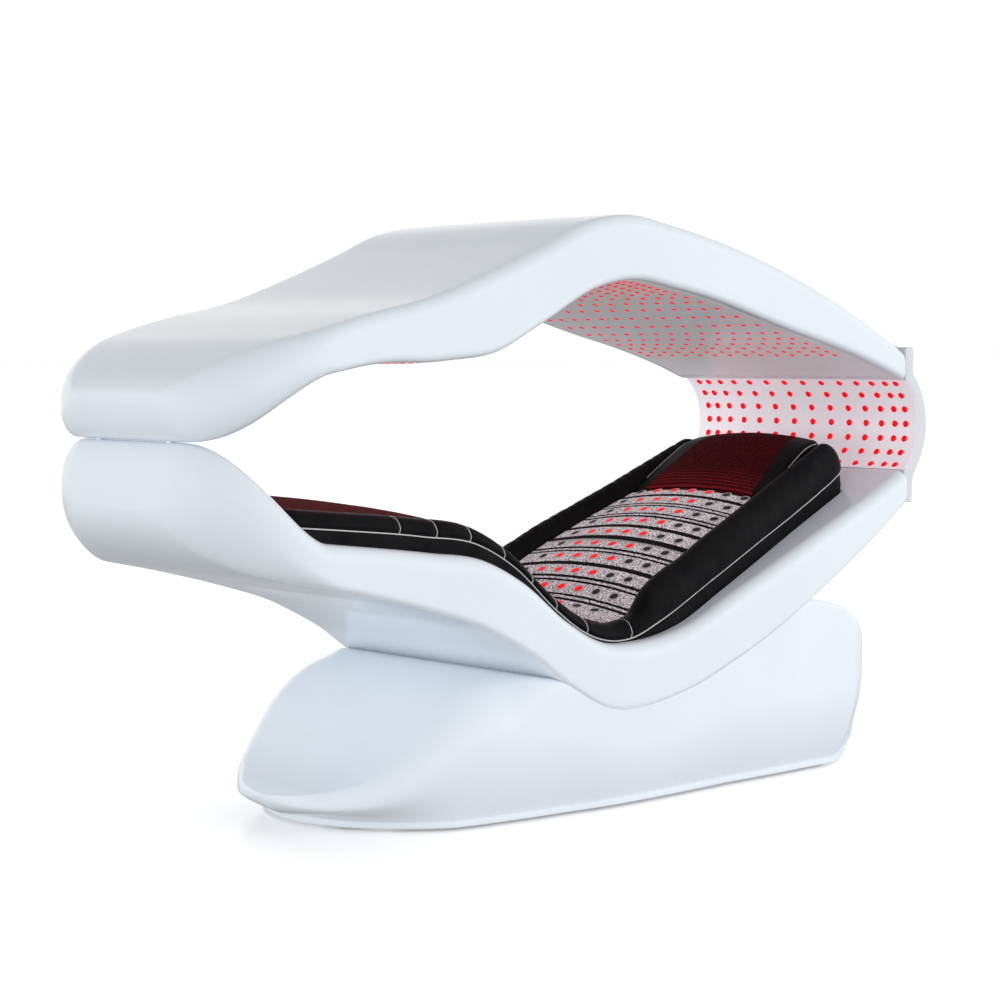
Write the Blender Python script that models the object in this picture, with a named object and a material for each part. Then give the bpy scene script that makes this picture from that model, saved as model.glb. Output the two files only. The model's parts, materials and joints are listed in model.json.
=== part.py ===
"""Red light therapy couch with a hinged light canopy, as an assembly of separate pieces.

X runs along the bed with the head end at +X, Y runs across it and Z is up. The origin is on the floor under
the middle of the bed. Distances along the bed are measured from the head plane, where the canopy and the
couch begin to run into the head panel, and grow towards the feet.
"""
import math

import bmesh
import bpy
import numpy as np
from mathutils import Matrix, Vector

# Overall sizes, in metres
BODY_LENGTH = 2.15
WIDTH = 0.81
HOUSING_DEPTH = 0.143
HEAD_BACK = 0.017
FIT = 0.0003
HEAD_X = (BODY_LENGTH - HEAD_BACK - HOUSING_DEPTH) / 2
PANEL_X = HEAD_X + HEAD_BACK

# Shells: heights of the side profile and the wall that is left when they are hollowed
RIDGE_Z = 1.382
SEAT_Z = 0.386
PARTING_Z = 0.876
PARTING_GAP = 0.004
FOOT_CORNER = 0.26
FOOT_EDGE = 0.115
FOOT_EDGE_FROM = 0.30
SHELL_WALL = 0.006
SHELL_EDGE = 0.034
SHELL_LOW_EDGE = 0.016
CANOPY_CROWN = 0.002
CANOPY_TIP_Z = 0.965
COUCH_TIP_Z = 0.735
FOOT_FLAT = 0.045
FOOT_BEND = 0.275
FOOT_ROLL = 0.05
FOOT_SLOPE = 0.20
BLUNT = 0.05
BUMPER = 0.010
HEAD_GAP = 0.008
CANOPY_HEAD = HEAD_GAP - HEAD_BACK
HEAD_EDGE = 0.012

# Canopy inside
LIP = 0.03
LIGHT_PANEL = 0.005
LIGHT_INSET = 0.0015
BOARD = 0.003
BOARD_MARGIN = 0.02
RIB = 0.03
LIGHT_END = 0.18

# Couch inside
RIM = 0.046
RECESS = 0.03
DECK = 0.008
RAIL = 0.03
RAIL_Y = WIDTH / 2 - 0.185
LEDGE = 0.006
LEDGE_WIDE = 0.025
PAD_HEAD = 0.10
PAD_FOOT = 0.175
PAD_PLAY = 0.002
SHOULDER_TAPER = 0.075
SHOULDER_AT = 0.95

# Pad
BOLSTER = 0.072
BOLSTER_BASE = 0.022
BOLSTER_PUFF = 0.006
BOLSTER_END = 0.55
BOLSTER_ROUND = 0.032
BOLSTER_END_NARROW = 0.18
SEAM_DIP = 0.004
MAT = 0.006
LEG_JOIN = 0.96
HEAD_JOIN = 0.36
SEAT_PAD = 0.100
LEG_PAD = 0.070
PILLOW = 0.150
PAD_CROWN = 0.018
PAD_EDGE = 0.016

# Head panel, its drum housing and the hinge
HEAD_HALF = WIDTH / 2 - 0.012
HINGE_HALF = HEAD_HALF - 0.045
FLANGE_TOP = RIDGE_Z - 0.3315
FLANGE_LOW = SEAT_Z + 0.286
ARC_TOP = FLANGE_TOP - 0.0565
ARC_LOW = FLANGE_LOW + 0.087
ARC_SAG = 0.056
PANEL_THICK = 0.036
PANEL_FACE = 0.008
PANEL_RIM = 0.10
STRAP = 0.006
HOUSING_WALL = 0.005
HOUSING_EDGE = 0.03
LENS_COLUMNS = 14
LENS_ROWS = 7
LENS_RADIUS = 0.009
LENS_PROUD = 0.002
LENS_FIELD = HEAD_HALF - 0.041
LENS_FAN = math.radians(62)
HINGE_BAR = 0.008
BUSH_WALL = 0.0032
KNUCKLE = 0.016
ARM_WIDE = 0.05
ARM_THICK = 0.010
ARM_REACH = 0.20
KNUCKLE_LONG = 0.09
KNUCKLE_SPACE = 0.028
MID_KNUCKLE_LONG = 0.12
ARM_Y = HINGE_HALF - KNUCKLE_LONG - KNUCKLE_SPACE - ARM_WIDE / 2

# Base
BASE_TIP = 1.775
BASE_REAR = 0.07
BASE_REACH = 0.15
BASE_TOP_REACH = 0.32
BASE_BULGE_Z = 0.24
BASE_CREST = 0.445
BASE_FLOOR = 0.006
BASE_TUCK = 0.082
BASE_LEAN = 0.20
BASE_LIP = 0.007
BASE_WALL = 0.007
BASE_SHOULDER = 0.130
SHOULDER_GROWS = 0.22
BASE_BLUNT = 0.12
BASE_NECK = 1.20
TIP_TUCK = 0.075
TIP_RISE = 0.065
PLATE_THICK = 0.007
PLATE_INSET = 0.022
FOOT_RADIUS = 0.035
FOOT_Y = WIDTH / 2 - 0.20
FOOT_HIGH = 0.0055
POST_WIDE = 0.34
POST_LONG = 0.10
POST_WALL = 0.006
FRONT_POST = 1.12
REAR_POST = 0.56
SADDLE_HIGH = 0.04
SADDLE_LONG = 0.16

# Service bay in the back of the base
BAY_HALF = 0.165
BAY_LOW = 0.085
BAY_HIGH = 0.315
BAY_AT = 0.23
BAY_LEDGE = 0.014
SERVICE_PANEL = 0.003
FAN_SIZE = 0.12
FAN_DEEP = 0.038
FAN_Y = 0.062
FAN_RUN = 0.0015
FAN_BLADES = 7
HUB_RADIUS = 0.022
SLOT_COUNT = 9
SWITCH_Y = -0.085
ROCKER_WIDE = 0.020
ROCKER_HIGH = 0.026
ROCKER_TILT = math.radians(7)
INLET_WIDE = 0.048
INLET_HIGH = 0.028

for thing in list(bpy.data.objects):
    bpy.data.objects.remove(thing, do_unlink=True)


def line(stations):
    """A smooth curve through (distance, height) stations, straight on past both ends."""
    at, height = np.array(sorted(stations), float).T
    slope = np.gradient(height, at)

    def curve(d):
        d = np.asarray(d, float)
        i = np.clip(np.searchsorted(at, d) - 1, 0, len(at) - 2)
        span = at[i + 1] - at[i]
        t = np.clip((d - at[i]) / span, 0, 1)
        rise = (2 * t ** 3 - 3 * t ** 2 + 1) * height[i] + (3 * t ** 2 - 2 * t ** 3) * height[i + 1]
        lean = (t ** 3 - 2 * t ** 2 + t) * slope[i] + (t ** 3 - t ** 2) * slope[i + 1]
        before = np.minimum(d - at[0], 0) * slope[0]
        after = np.maximum(d - at[-1], 0) * slope[-1]
        return rise + lean * span + before + after

    return curve


def ease(d, start, stop):
    """0 before start, 1 after stop and a smooth step between."""
    t = np.clip((np.asarray(d, float) - start) / (stop - start), 0, 1)
    return t * t * (3 - 2 * t)


def round_off(d, tip, reach):
    """1 along the body, falling on a quarter ellipse to a small blunt end at the tip."""
    t = np.clip((np.asarray(d, float) - tip + reach) / reach, 0, 1)
    return np.maximum(np.sqrt(1 - t * t), BLUNT)


# Every piece that follows the bed takes its sections at these stations, so that neighbours have the same
# facets. They lie closer where the bed bends at the hips, and close up round the foot end.
SEAM_PITCH = 0.0975
HIP_FROM = 0.72
HIP_TO = 1.58
FOOT_TURN = np.radians((0, 18, 34, 48, 60, 70, 79, 90))
FOOT_STATIONS = BODY_LENGTH - FOOT_SLOPE * (1 - np.sin(FOOT_TURN))
REST_AT = FOOT_STATIONS[3]
PUFF_STATIONS = np.linspace(0.0, FOOT_STATIONS[0], 2 * round(FOOT_STATIONS[0] / SEAM_PITCH) + 1)
BODY_STATIONS = [d for k, d in enumerate(PUFF_STATIONS) if k % 2 == 0 or HIP_FROM < d < HIP_TO]
STATIONS = np.array([-HEAD_BACK, *BODY_STATIONS, *FOOT_STATIONS[1:]])


def faceted(curve):
    """A curve drawn straight from station to station."""
    heights = curve(STATIONS)
    return lambda d: np.interp(d, STATIONS, heights)


# Side profiles of the two shells. Each has its outer or upper line and the depth of its side band.
canopy_crest = line([
    (0.0, RIDGE_Z - 0.308), (0.105, RIDGE_Z - 0.256), (0.42, RIDGE_Z - 0.129), (0.86, RIDGE_Z - 0.018),
    (0.99, RIDGE_Z), (1.13, RIDGE_Z - 0.021), (1.27, RIDGE_Z - 0.080), (1.42, RIDGE_Z - 0.140),
    (1.60, RIDGE_Z - 0.202), (1.78, RIDGE_Z - 0.242), (BODY_LENGTH - 0.23, RIDGE_Z - 0.280),
    (BODY_LENGTH, RIDGE_Z - 0.345)])
canopy_depth = line([
    (0.0, 0.080), (0.10, 0.094), (0.26, 0.118), (0.42, 0.140), (0.80, 0.148), (1.10, 0.155), (1.30, 0.170),
    (1.42, 0.178), (1.56, 0.147), (1.72, 0.113), (BODY_LENGTH - 0.29, 0.098), (BODY_LENGTH, 0.090)])
couch_bed = line([
    (0.0, SEAT_Z + 0.367), (0.10, SEAT_Z + 0.319), (0.34, SEAT_Z + 0.216), (0.64, SEAT_Z + 0.091),
    (0.80, SEAT_Z + 0.026), (0.95, SEAT_Z), (1.08, SEAT_Z + 0.009), (1.20, SEAT_Z + 0.069),
    (1.33, SEAT_Z + 0.164), (1.44, SEAT_Z + 0.218), (1.60, SEAT_Z + 0.245),
    (BODY_LENGTH - 0.35, SEAT_Z + 0.270), (BODY_LENGTH, SEAT_Z + 0.310)])
couch_depth = line([
    (0.0, 0.093), (0.20, 0.128), (0.41, 0.156), (0.56, 0.164), (0.85, 0.150), (1.05, 0.156), (1.20, 0.152),
    (1.42, 0.159), (1.60, 0.130), (1.80, 0.103), (BODY_LENGTH, 0.075)])


@faceted
def canopy_high(d):
    roll = round_off(d, BODY_LENGTH, FOOT_SLOPE)
    return CANOPY_TIP_Z + (canopy_crest(d) - CANOPY_TIP_Z) * roll


@faceted
def canopy_under(d):
    """Underside of the canopy, which drops to the parting line at the foot end."""
    drop = ease(d, BODY_LENGTH - FOOT_BEND, BODY_LENGTH - FOOT_FLAT)
    roof = canopy_crest(d) - canopy_depth(d)
    return roof + (PARTING_Z + PARTING_GAP / 2 - roof) * drop


@faceted
def canopy_low(d):
    roll = round_off(d, BODY_LENGTH, FOOT_ROLL)
    return CANOPY_TIP_Z + (canopy_under(d) - CANOPY_TIP_Z) * roll


def couch_rim(d):
    """Top edge of the couch shell, which rises to the parting line at the foot end."""
    rise = ease(d, BODY_LENGTH - FOOT_BEND, BODY_LENGTH - FOOT_FLAT)
    return couch_bed(d) + (PARTING_Z - PARTING_GAP / 2 - couch_bed(d)) * rise


@faceted
def couch_high(d):
    roll = round_off(d, BODY_LENGTH, FOOT_ROLL)
    return COUCH_TIP_Z + (couch_rim(d) - COUCH_TIP_Z) * roll


@faceted
def couch_low(d):
    roll = round_off(d, BODY_LENGTH, FOOT_SLOPE)
    return COUCH_TIP_Z + (couch_bed(d) - couch_depth(d) - COUCH_TIP_Z) * roll


@faceted
def shell_half(d):
    """Half width of both shells, with round corners in plan at the foot end."""
    into = np.clip(np.asarray(d, float) - BODY_LENGTH + FOOT_CORNER, 0, FOOT_CORNER)
    return WIDTH / 2 - FOOT_CORNER + np.sqrt(FOOT_CORNER ** 2 - into ** 2)


def foot_edge(edge):
    """An edge radius along the body that grows to the wide rounding of the foot end."""
    start, stop = BODY_LENGTH - FOOT_EDGE_FROM, BODY_LENGTH - FOOT_FLAT
    return lambda d: edge + (FOOT_EDGE - edge) * float(ease(d, start, stop))


@faceted
def bed_top(d):
    """Upper face of the deck that the pad lies on."""
    return couch_bed(d) - RECESS


@faceted
def recess_half(d):
    """Half width of the recess for the pad, which narrows from the hips to the shoulders."""
    return WIDTH / 2 - RIM - SHOULDER_TAPER * (1 - ease(d, 0.0, SHOULDER_AT))


def finish(name, colour, roughness, metallic=0.0):
    material = bpy.data.materials.new(name)
    material.use_nodes = True
    shader = material.node_tree.nodes["Principled BSDF"]
    shader.inputs["Base Color"].default_value = (*colour, 1.0)
    shader.inputs["Roughness"].default_value = roughness
    shader.inputs["Metallic"].default_value = metallic
    material.diffuse_color = (*colour, 1.0)
    return material


GLOSS_WHITE = finish("gloss_white", (0.86, 0.88, 0.91), 0.18)
PANEL_WHITE = finish("panel_white", (0.74, 0.74, 0.77), 0.35)
BLACK_LEATHER = finish("black_leather", (0.012, 0.012, 0.014), 0.38)
RED_MESH = finish("red_mesh", (0.10, 0.012, 0.015), 0.75)
GREY_FABRIC = finish("grey_fabric", (0.30, 0.29, 0.30), 0.85)
MAT_BLACK = finish("mat_black", (0.03, 0.02, 0.02), 0.6)
STEEL = finish("steel", (0.42, 0.43, 0.45), 0.35, 1.0)
DARK_STEEL = finish("dark_steel", (0.06, 0.06, 0.065), 0.5, 0.6)
BRONZE = finish("bronze", (0.50, 0.33, 0.15), 0.35, 1.0)
BOARD_WHITE = finish("board_white", (0.70, 0.72, 0.70), 0.5)
ALUMINIUM = finish("aluminium", (0.62, 0.63, 0.65), 0.4, 1.0)
BLACK_PLASTIC = finish("black_plastic", (0.02, 0.02, 0.022), 0.45)
RUBBER = finish("rubber", (0.025, 0.025, 0.025), 0.8)


def place(name, bm, material, smooth=True):
    """Puts a finished mesh into the scene with its faces turned out."""
    bmesh.ops.recalc_face_normals(bm, faces=bm.faces)
    mesh = bpy.data.meshes.new(name)
    bm.to_mesh(mesh)
    bm.free()
    mesh.materials.append(material)
    if smooth:
        mesh.shade_smooth()
        mesh.set_sharp_from_angle(angle=math.radians(35))
    piece = bpy.data.objects.new(name, mesh)
    bpy.context.scene.collection.objects.link(piece)
    return piece


def shape(piece, tool, operation="DIFFERENCE"):
    """Cuts a helper out of a piece, or joins it on, and keeps the helper as a hidden wire."""
    change = piece.modifiers.new(tool.name, "BOOLEAN")
    change.object = tool
    change.operation = operation
    change.solver = "EXACT"
    tool.hide_render = True
    tool.display_type = "WIRE"
    tool.hide_set(True)
    return piece


def loft(rings):
    """A closed skin through rings of equal count, with a flat cap on each end."""
    bm = bmesh.new()
    loops = [[bm.verts.new(point) for point in ring] for ring in rings]
    for near, far in zip(loops, loops[1:]):
        for i in range(len(near)):
            j = (i + 1) % len(near)
            bm.faces.new((near[i], near[j], far[j], far[i]))
    bm.faces.new(loops[0])
    bm.faces.new(loops[-1])
    return bm


def section(half, low, high, low_edge, high_edge, crown, steps):
    """A cross-section as (y, z) points: a rectangle with round corners and a crowned top."""
    tall = high - low
    low_edge = min(low_edge, half * 0.9, tall * 0.45)
    high_edge = min(high_edge, half * 0.9, tall * 0.45)
    points = []
    for side, top, turn in ((1, 0, -90), (1, 1, 0), (-1, 1, 90), (-1, 0, 180)):
        edge = high_edge if top else low_edge
        centre_z = high - edge if top else low + edge
        for angle in np.radians(np.linspace(turn, turn + 90, steps + 1)) if steps else ():
            points.append((side * (half - edge) + edge * math.cos(angle), centre_z + edge * math.sin(angle)))
        if not steps:
            points.append((side * half, high if top else low))
        if crown and side == 1 and top:
            points.append((0.0, high))
    lift = [crown * (1 - (y / half) ** 2) * (z - low) / tall for y, z in points]
    return [(y, z + up) for (y, z), up in zip(points, lift)]


def constant(value):
    return lambda d: value


def offset(curve, by):
    return lambda d: curve(d) + by


def slab(stops, low, high, half, low_edge=constant(0.0), high_edge=constant(0.0), crown=0.0, centre=0.0,
         ends=(0.0, 0.0), steps=0):
    """A body along the bed between a low and a high line. The radii in ends round its ends over."""
    first, last = stops[0], stops[-1]
    head_round, foot_round = ends
    curl = [math.radians(a) for a in (0, 30, 60)]
    stops = [d for d in stops if first + head_round <= d <= last - foot_round]
    if head_round:
        stops = [first + head_round * (1 - math.cos(a)) for a in curl] + stops
    if foot_round:
        stops = stops + [last - foot_round * (1 - math.cos(a)) for a in reversed(curl)]
    rings = []
    for d in stops:
        inset = 0.0
        for reach, into in ((head_round, d - first), (foot_round, last - d)):
            if into < reach:
                inset = reach - math.sqrt(reach ** 2 - (reach - into) ** 2)
        ring = section(float(half(d)) - inset, float(low(d)) + inset, float(high(d)) - inset,
                       low_edge(d), high_edge(d), crown, steps)
        rings.append([(HEAD_X - d, centre + y, z) for y, z in ring])
    return loft(rings)


def spread(first, last, step):
    count = max(2, round((last - first) / step) + 1)
    return list(np.linspace(first, last, count))


def along(first, last):
    """The bed's stations between two distances, and those two."""
    return [first, *(d for d in STATIONS if first + FIT < d < last - FIT), last]


def plate(outline, y0, y1):
    """An outline of (x, z) points, measured back from the head panel's face, carried across the bed."""
    return loft([[(PANEL_X + x, y, z) for x, z in outline] for y in (y0, y1)])


def block(low, high):
    """A square-edged box between two corners."""
    (x0, y0, z0), (x1, y1, z1) = low, high
    return loft([[(x, y0, z0), (x, y1, z0), (x, y1, z1), (x, y0, z1)] for x in (x0, x1)])


def rod(start, stop, radius, sides, inner=0.0):
    """A round bar between two points, or a tube where inner is more than nothing."""
    start, stop = Vector(start), Vector(stop)
    turn = (stop - start).to_track_quat("Z", "Y")
    circle = [Vector((math.cos(a), math.sin(a), 0)) for a in np.arange(sides) * math.tau / sides]
    ends = [[point + turn @ (spoke * r) for spoke in circle]
            for r in (radius, inner) if r for point in (start, stop)]
    if not inner:
        return loft(ends)
    bm = bmesh.new()
    loops = [[bm.verts.new(p) for p in ends[k]] for k in (0, 1, 3, 2)]
    for near, far in zip(loops, loops[1:] + loops[:1]):
        for i in range(sides):
            j = (i + 1) % sides
            bm.faces.new((near[i], near[j], far[j], far[i]))
    return bm


# Canopy: an outer moulding, hollowed and open below, with the light panel set into its lip
@faceted
def light_half(d):
    """Half width of the light panel, which stays inside the rounding of the foot end."""
    edges = np.array([foot_edge(SHELL_LOW_EDGE)(at) for at in np.atleast_1d(d)])
    return np.minimum(WIDTH / 2 - LIP, shell_half(d) - edges - SHELL_WALL)


def make_canopy():
    foot = BODY_LENGTH - LIGHT_END
    low_edge, high_edge = foot_edge(SHELL_LOW_EDGE), foot_edge(SHELL_EDGE)
    shell = place("canopy_shell", slab(
        along(CANOPY_HEAD, BODY_LENGTH), canopy_low, canopy_high, shell_half, low_edge, high_edge, CANOPY_CROWN,
        ends=(HEAD_EDGE, 0.0), steps=3), GLOSS_WHITE)
    shape(shell, place("canopy_hollow", slab(
        along(CANOPY_HEAD + SHELL_WALL, BODY_LENGTH - FOOT_FLAT), offset(canopy_low, SHELL_WALL),
        offset(canopy_high, -SHELL_WALL), offset(shell_half, -SHELL_WALL), low_edge, high_edge, steps=1),
        GLOSS_WHITE))
    shape(shell, place("canopy_opening", slab(
        along(LIP, foot), offset(canopy_under, -SHELL_EDGE), offset(canopy_under, 2 * SHELL_WALL),
        light_half), GLOSS_WHITE))

    back = LIGHT_INSET + LIGHT_PANEL
    place("canopy_light_panel", slab(
        along(LIP + FIT, foot - FIT), offset(canopy_under, LIGHT_INSET), offset(canopy_under, back),
        offset(light_half, -FIT)), PANEL_WHITE)
    lights = np.linspace(LIP + BOARD_MARGIN, foot - BOARD_MARGIN, 4)
    for part, first, last in zip(("head", "body", "leg"), lights, lights[1:]):
        place(f"canopy_{part}_board", slab(
            along(first + FIT, last - 2 * FIT), offset(canopy_under, back + FIT),
            offset(canopy_under, back + FIT + BOARD), offset(light_half, -LIP)), BOARD_WHITE)
    rib_low = back + BOARD + 2 * FIT
    for side, y in (("left", ARM_Y), ("right", -ARM_Y)):
        place(f"canopy_{side}_rib", slab(
            along(CANOPY_HEAD + SHELL_WALL + FIT, foot), offset(canopy_under, rib_low),
            offset(canopy_under, rib_low + RIB), constant(RIB / 2), centre=y), STEEL)
    return shell, rib_low + RIB


# Hinge: knuckles on the head straps, a bar right across and two arms that reach into the canopy
def hinge_axis():
    return PANEL_THICK / 2, FLANGE_TOP + KNUCKLE + FIT


def knuckle_tool(name, y0, y1, radius):
    x, z = hinge_axis()
    return place(name, rod((PANEL_X + x, y0, z), (PANEL_X + x, y1, z), radius, 20), STEEL)


def make_hinge_arm(side, y, seat, shell):
    axis_x, axis_z = hinge_axis()
    inner = HINGE_BAR + BUSH_WALL + 2 * FIT
    outer = KNUCKLE
    y0, y1 = y - ARM_WIDE / 2, y + ARM_WIDE / 2
    reach = along(CANOPY_HEAD + SHELL_WALL + FIT, ARM_REACH)
    clear = FLANGE_TOP + 4 * FIT
    under = [(-HEAD_BACK - d, max(float(canopy_under(d)) + seat + FIT, clear)) for d in reach]
    over = [(x, z + ARM_THICK) for x, z in reversed(under)]
    neck_low, neck_high = clear, max(axis_z, clear + ARM_THICK)
    strap = [(axis_x, neck_low), *under, *over, (axis_x, neck_high)]
    arm = place(f"hinge_arm_{side}", plate(strap, y0, y1), STEEL)
    shape(arm, knuckle_tool(f"arm_eye_{side}", y0, y1, outer), "UNION")
    shape(arm, knuckle_tool(f"arm_bore_{side}", y0 - LIP, y1 + LIP, inner))
    slot_low, slot_high = min(under[0][1], neck_low) - FIT, max(over[-1][1], neck_high) + FIT
    slot = place(f"arm_slot_{side}", block(
        (PANEL_X - HEAD_GAP - 2 * HEAD_EDGE, y0 - FIT, slot_low), (PANEL_X, y1 + FIT, slot_high)), STEEL)
    shape(shell, slot)
    bush_in = HINGE_BAR + FIT
    ends = [(PANEL_X + axis_x, at, axis_z) for at in (y0, y1)]
    place(f"hinge_bush_{side}", rod(*ends, bush_in + BUSH_WALL, 20, bush_in), BRONZE)


def omega(behind, top, low):
    """The head panel's line set back by some distance: flange, arc bulging to the head, flange."""
    half_chord = (ARC_TOP - ARC_LOW) / 2
    middle = (ARC_TOP + ARC_LOW) / 2
    radius = (half_chord ** 2 + ARC_SAG ** 2) / (2 * ARC_SAG)
    centre_x = ARC_SAG - radius
    sweep = math.acos((behind - centre_x) / (radius + behind))
    arc = [(centre_x + (radius + behind) * math.cos(a), middle + (radius + behind) * math.sin(a))
           for a in np.linspace(sweep, -sweep, 11)]
    return [(behind, top), *arc, (behind, low)]


def head_lenses():
    """Red lenses in rows along the arc and columns that close up towards both sides."""
    half_chord = (ARC_TOP - ARC_LOW) / 2
    middle = (ARC_TOP + ARC_LOW) / 2
    radius = (half_chord ** 2 + ARC_SAG ** 2) / (2 * ARC_SAG)
    centre_x = PANEL_X + ARC_SAG - radius
    sweep = math.asin((half_chord - 1.2 * LENS_RADIUS) / radius)
    bm = bmesh.new()
    for angle in np.linspace(-sweep, sweep, LENS_ROWS):
        inward = Vector((-math.cos(angle), 0, math.sin(angle)))
        for spread_angle in np.linspace(-LENS_FAN, LENS_FAN, LENS_COLUMNS):
            y = LENS_FIELD * math.sin(spread_angle) / math.sin(LENS_FAN)
            seat = Vector((centre_x, y, middle)) - inward * radius
            low, high = seat - inward * PANEL_FACE / 2, seat + inward * LENS_PROUD
            turn = inward.to_track_quat("Z", "Y")
            spokes = [turn @ Vector((math.cos(a), math.sin(a), 0)) * LENS_RADIUS
                      for a in np.arange(6) * math.tau / 6]
            loops = [[bm.verts.new(end + spoke) for spoke in spokes] for end in (low, high)]
            for i in range(6):
                j = (i + 1) % 6
                bm.faces.new((loops[0][i], loops[0][j], loops[1][j], loops[1][i]))
            bm.faces.new(loops[0])
            bm.faces.new(loops[1])
    return bm


def make_head():
    front = omega(0.0, FLANGE_TOP, FLANGE_LOW)
    back = omega(PANEL_THICK, FLANGE_TOP, FLANGE_LOW)
    panel = place("head_light_panel", plate(front + back[::-1], -HEAD_HALF, HEAD_HALF), PANEL_WHITE)
    pocket_half = HEAD_HALF - PANEL_RIM
    pocket_top, pocket_low = FLANGE_TOP - STRAP * 3, FLANGE_LOW + STRAP * 3
    floor = omega(PANEL_FACE, pocket_top, pocket_low)
    mouth = omega(PANEL_THICK + STRAP, pocket_top, pocket_low)
    shape(panel, place("panel_pocket", plate(floor + mouth[::-1], -pocket_half, pocket_half), PANEL_WHITE))
    shape(panel, place("panel_lenses", head_lenses(), PANEL_WHITE), "UNION")
    near = omega(PANEL_FACE + FIT, pocket_top - FIT, pocket_low + FIT)
    far = omega(PANEL_FACE + FIT + BOARD, pocket_top - FIT, pocket_low + FIT)
    place("head_board", plate(near + far[::-1], -pocket_half + FIT, pocket_half - FIT), BOARD_WHITE)

    axis_x, axis_z = hinge_axis()
    seat = PANEL_THICK + FIT
    for side, y0, y1 in (("left", HINGE_HALF - KNUCKLE_LONG, HINGE_HALF),
                         ("right", -HINGE_HALF, -HINGE_HALF + KNUCKLE_LONG)):
        inner = omega(seat, axis_z, FLANGE_LOW)
        outer = omega(seat + STRAP, axis_z, FLANGE_LOW)
        strap = place(f"head_strap_{side}", plate(inner + outer[::-1], y0, y1), STEEL)
        make_knuckle(strap, side, y0, y1)
    half = MID_KNUCKLE_LONG / 2
    leaf = [(seat, ARC_TOP + FIT), (seat, axis_z), (seat + STRAP, axis_z), (seat + STRAP, ARC_TOP + FIT)]
    middle = place("hinge_knuckle_middle", plate(leaf, -half, half), STEEL)
    make_knuckle(middle, "middle", -half, half)
    place("hinge_bar", rod((PANEL_X + axis_x, -HINGE_HALF, axis_z), (PANEL_X + axis_x, HINGE_HALF, axis_z),
                           HINGE_BAR, 20), STEEL)
    make_housing()


def make_knuckle(leaf, side, y0, y1):
    """Rolls the top of a leaf into a knuckle round the hinge bar."""
    axis_x, axis_z = hinge_axis()
    shape(leaf, knuckle_tool(f"knuckle_{side}", y0, y1, KNUCKLE), "UNION")
    web_low, web_high = axis_z - KNUCKLE / 2, axis_z + KNUCKLE / 2
    web_back = PANEL_THICK + FIT + STRAP
    web = [(axis_x, web_low), (axis_x, web_high), (web_back, web_high), (web_back, web_low)]
    shape(leaf, place(f"knuckle_web_{side}", plate(web, y0, y1), STEEL), "UNION")
    shape(leaf, knuckle_tool(f"knuckle_bore_{side}", y0 - LIP, y1 + LIP, HINGE_BAR + FIT))


def drum_ring(y, inset, front):
    """Half an ellipse behind the head straps, closed by a straight front."""
    start = PANEL_THICK + STRAP + 2 * FIT
    deep = HOUSING_DEPTH - start - inset
    tall = (FLANGE_TOP - FLANGE_LOW) / 2 - inset
    middle = (FLANGE_TOP + FLANGE_LOW) / 2
    curve = [(start + deep * math.cos(a), middle + tall * math.sin(a))
             for a in np.linspace(-math.pi / 2, math.pi / 2, 15)]
    lead = [(start - front, middle + tall), (start - front, middle - tall)] if front else []
    return [(PANEL_X + x, y, z) for x, z in curve + lead]


def make_housing():
    curl = [(HOUSING_EDGE * (1 - math.cos(a)), HOUSING_EDGE * (1 - math.sin(a)))
            for a in np.radians((0, 30, 60, 90))]
    left = [drum_ring(HINGE_HALF - into, inset, 0.0) for into, inset in curl]
    right = [drum_ring(-HINGE_HALF + into, inset, 0.0) for into, inset in reversed(curl)]
    shell = place("head_housing", loft(left + right), GLOSS_WHITE)
    half = HINGE_HALF - HOUSING_WALL
    side = [(y, HOUSING_WALL + edge) for y, edge in ((half, HOUSING_EDGE), (half - HOUSING_EDGE, 0.0))]
    rings = [drum_ring(y, inset, LIP) for y, inset in side]
    rings += [drum_ring(-y, inset, LIP) for y, inset in reversed(side)]
    shape(shell, place("housing_hollow", loft(rings), GLOSS_WHITE))
    back = omega(PANEL_THICK + STRAP + 2 * FIT, FLANGE_TOP + LIP, FLANGE_LOW - LIP)
    front = [(-LIP, FLANGE_LOW - LIP), (-LIP, FLANGE_TOP + LIP)]
    shape(shell, place("housing_front", plate(back + front, -WIDTH, WIDTH), GLOSS_WHITE))


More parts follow.
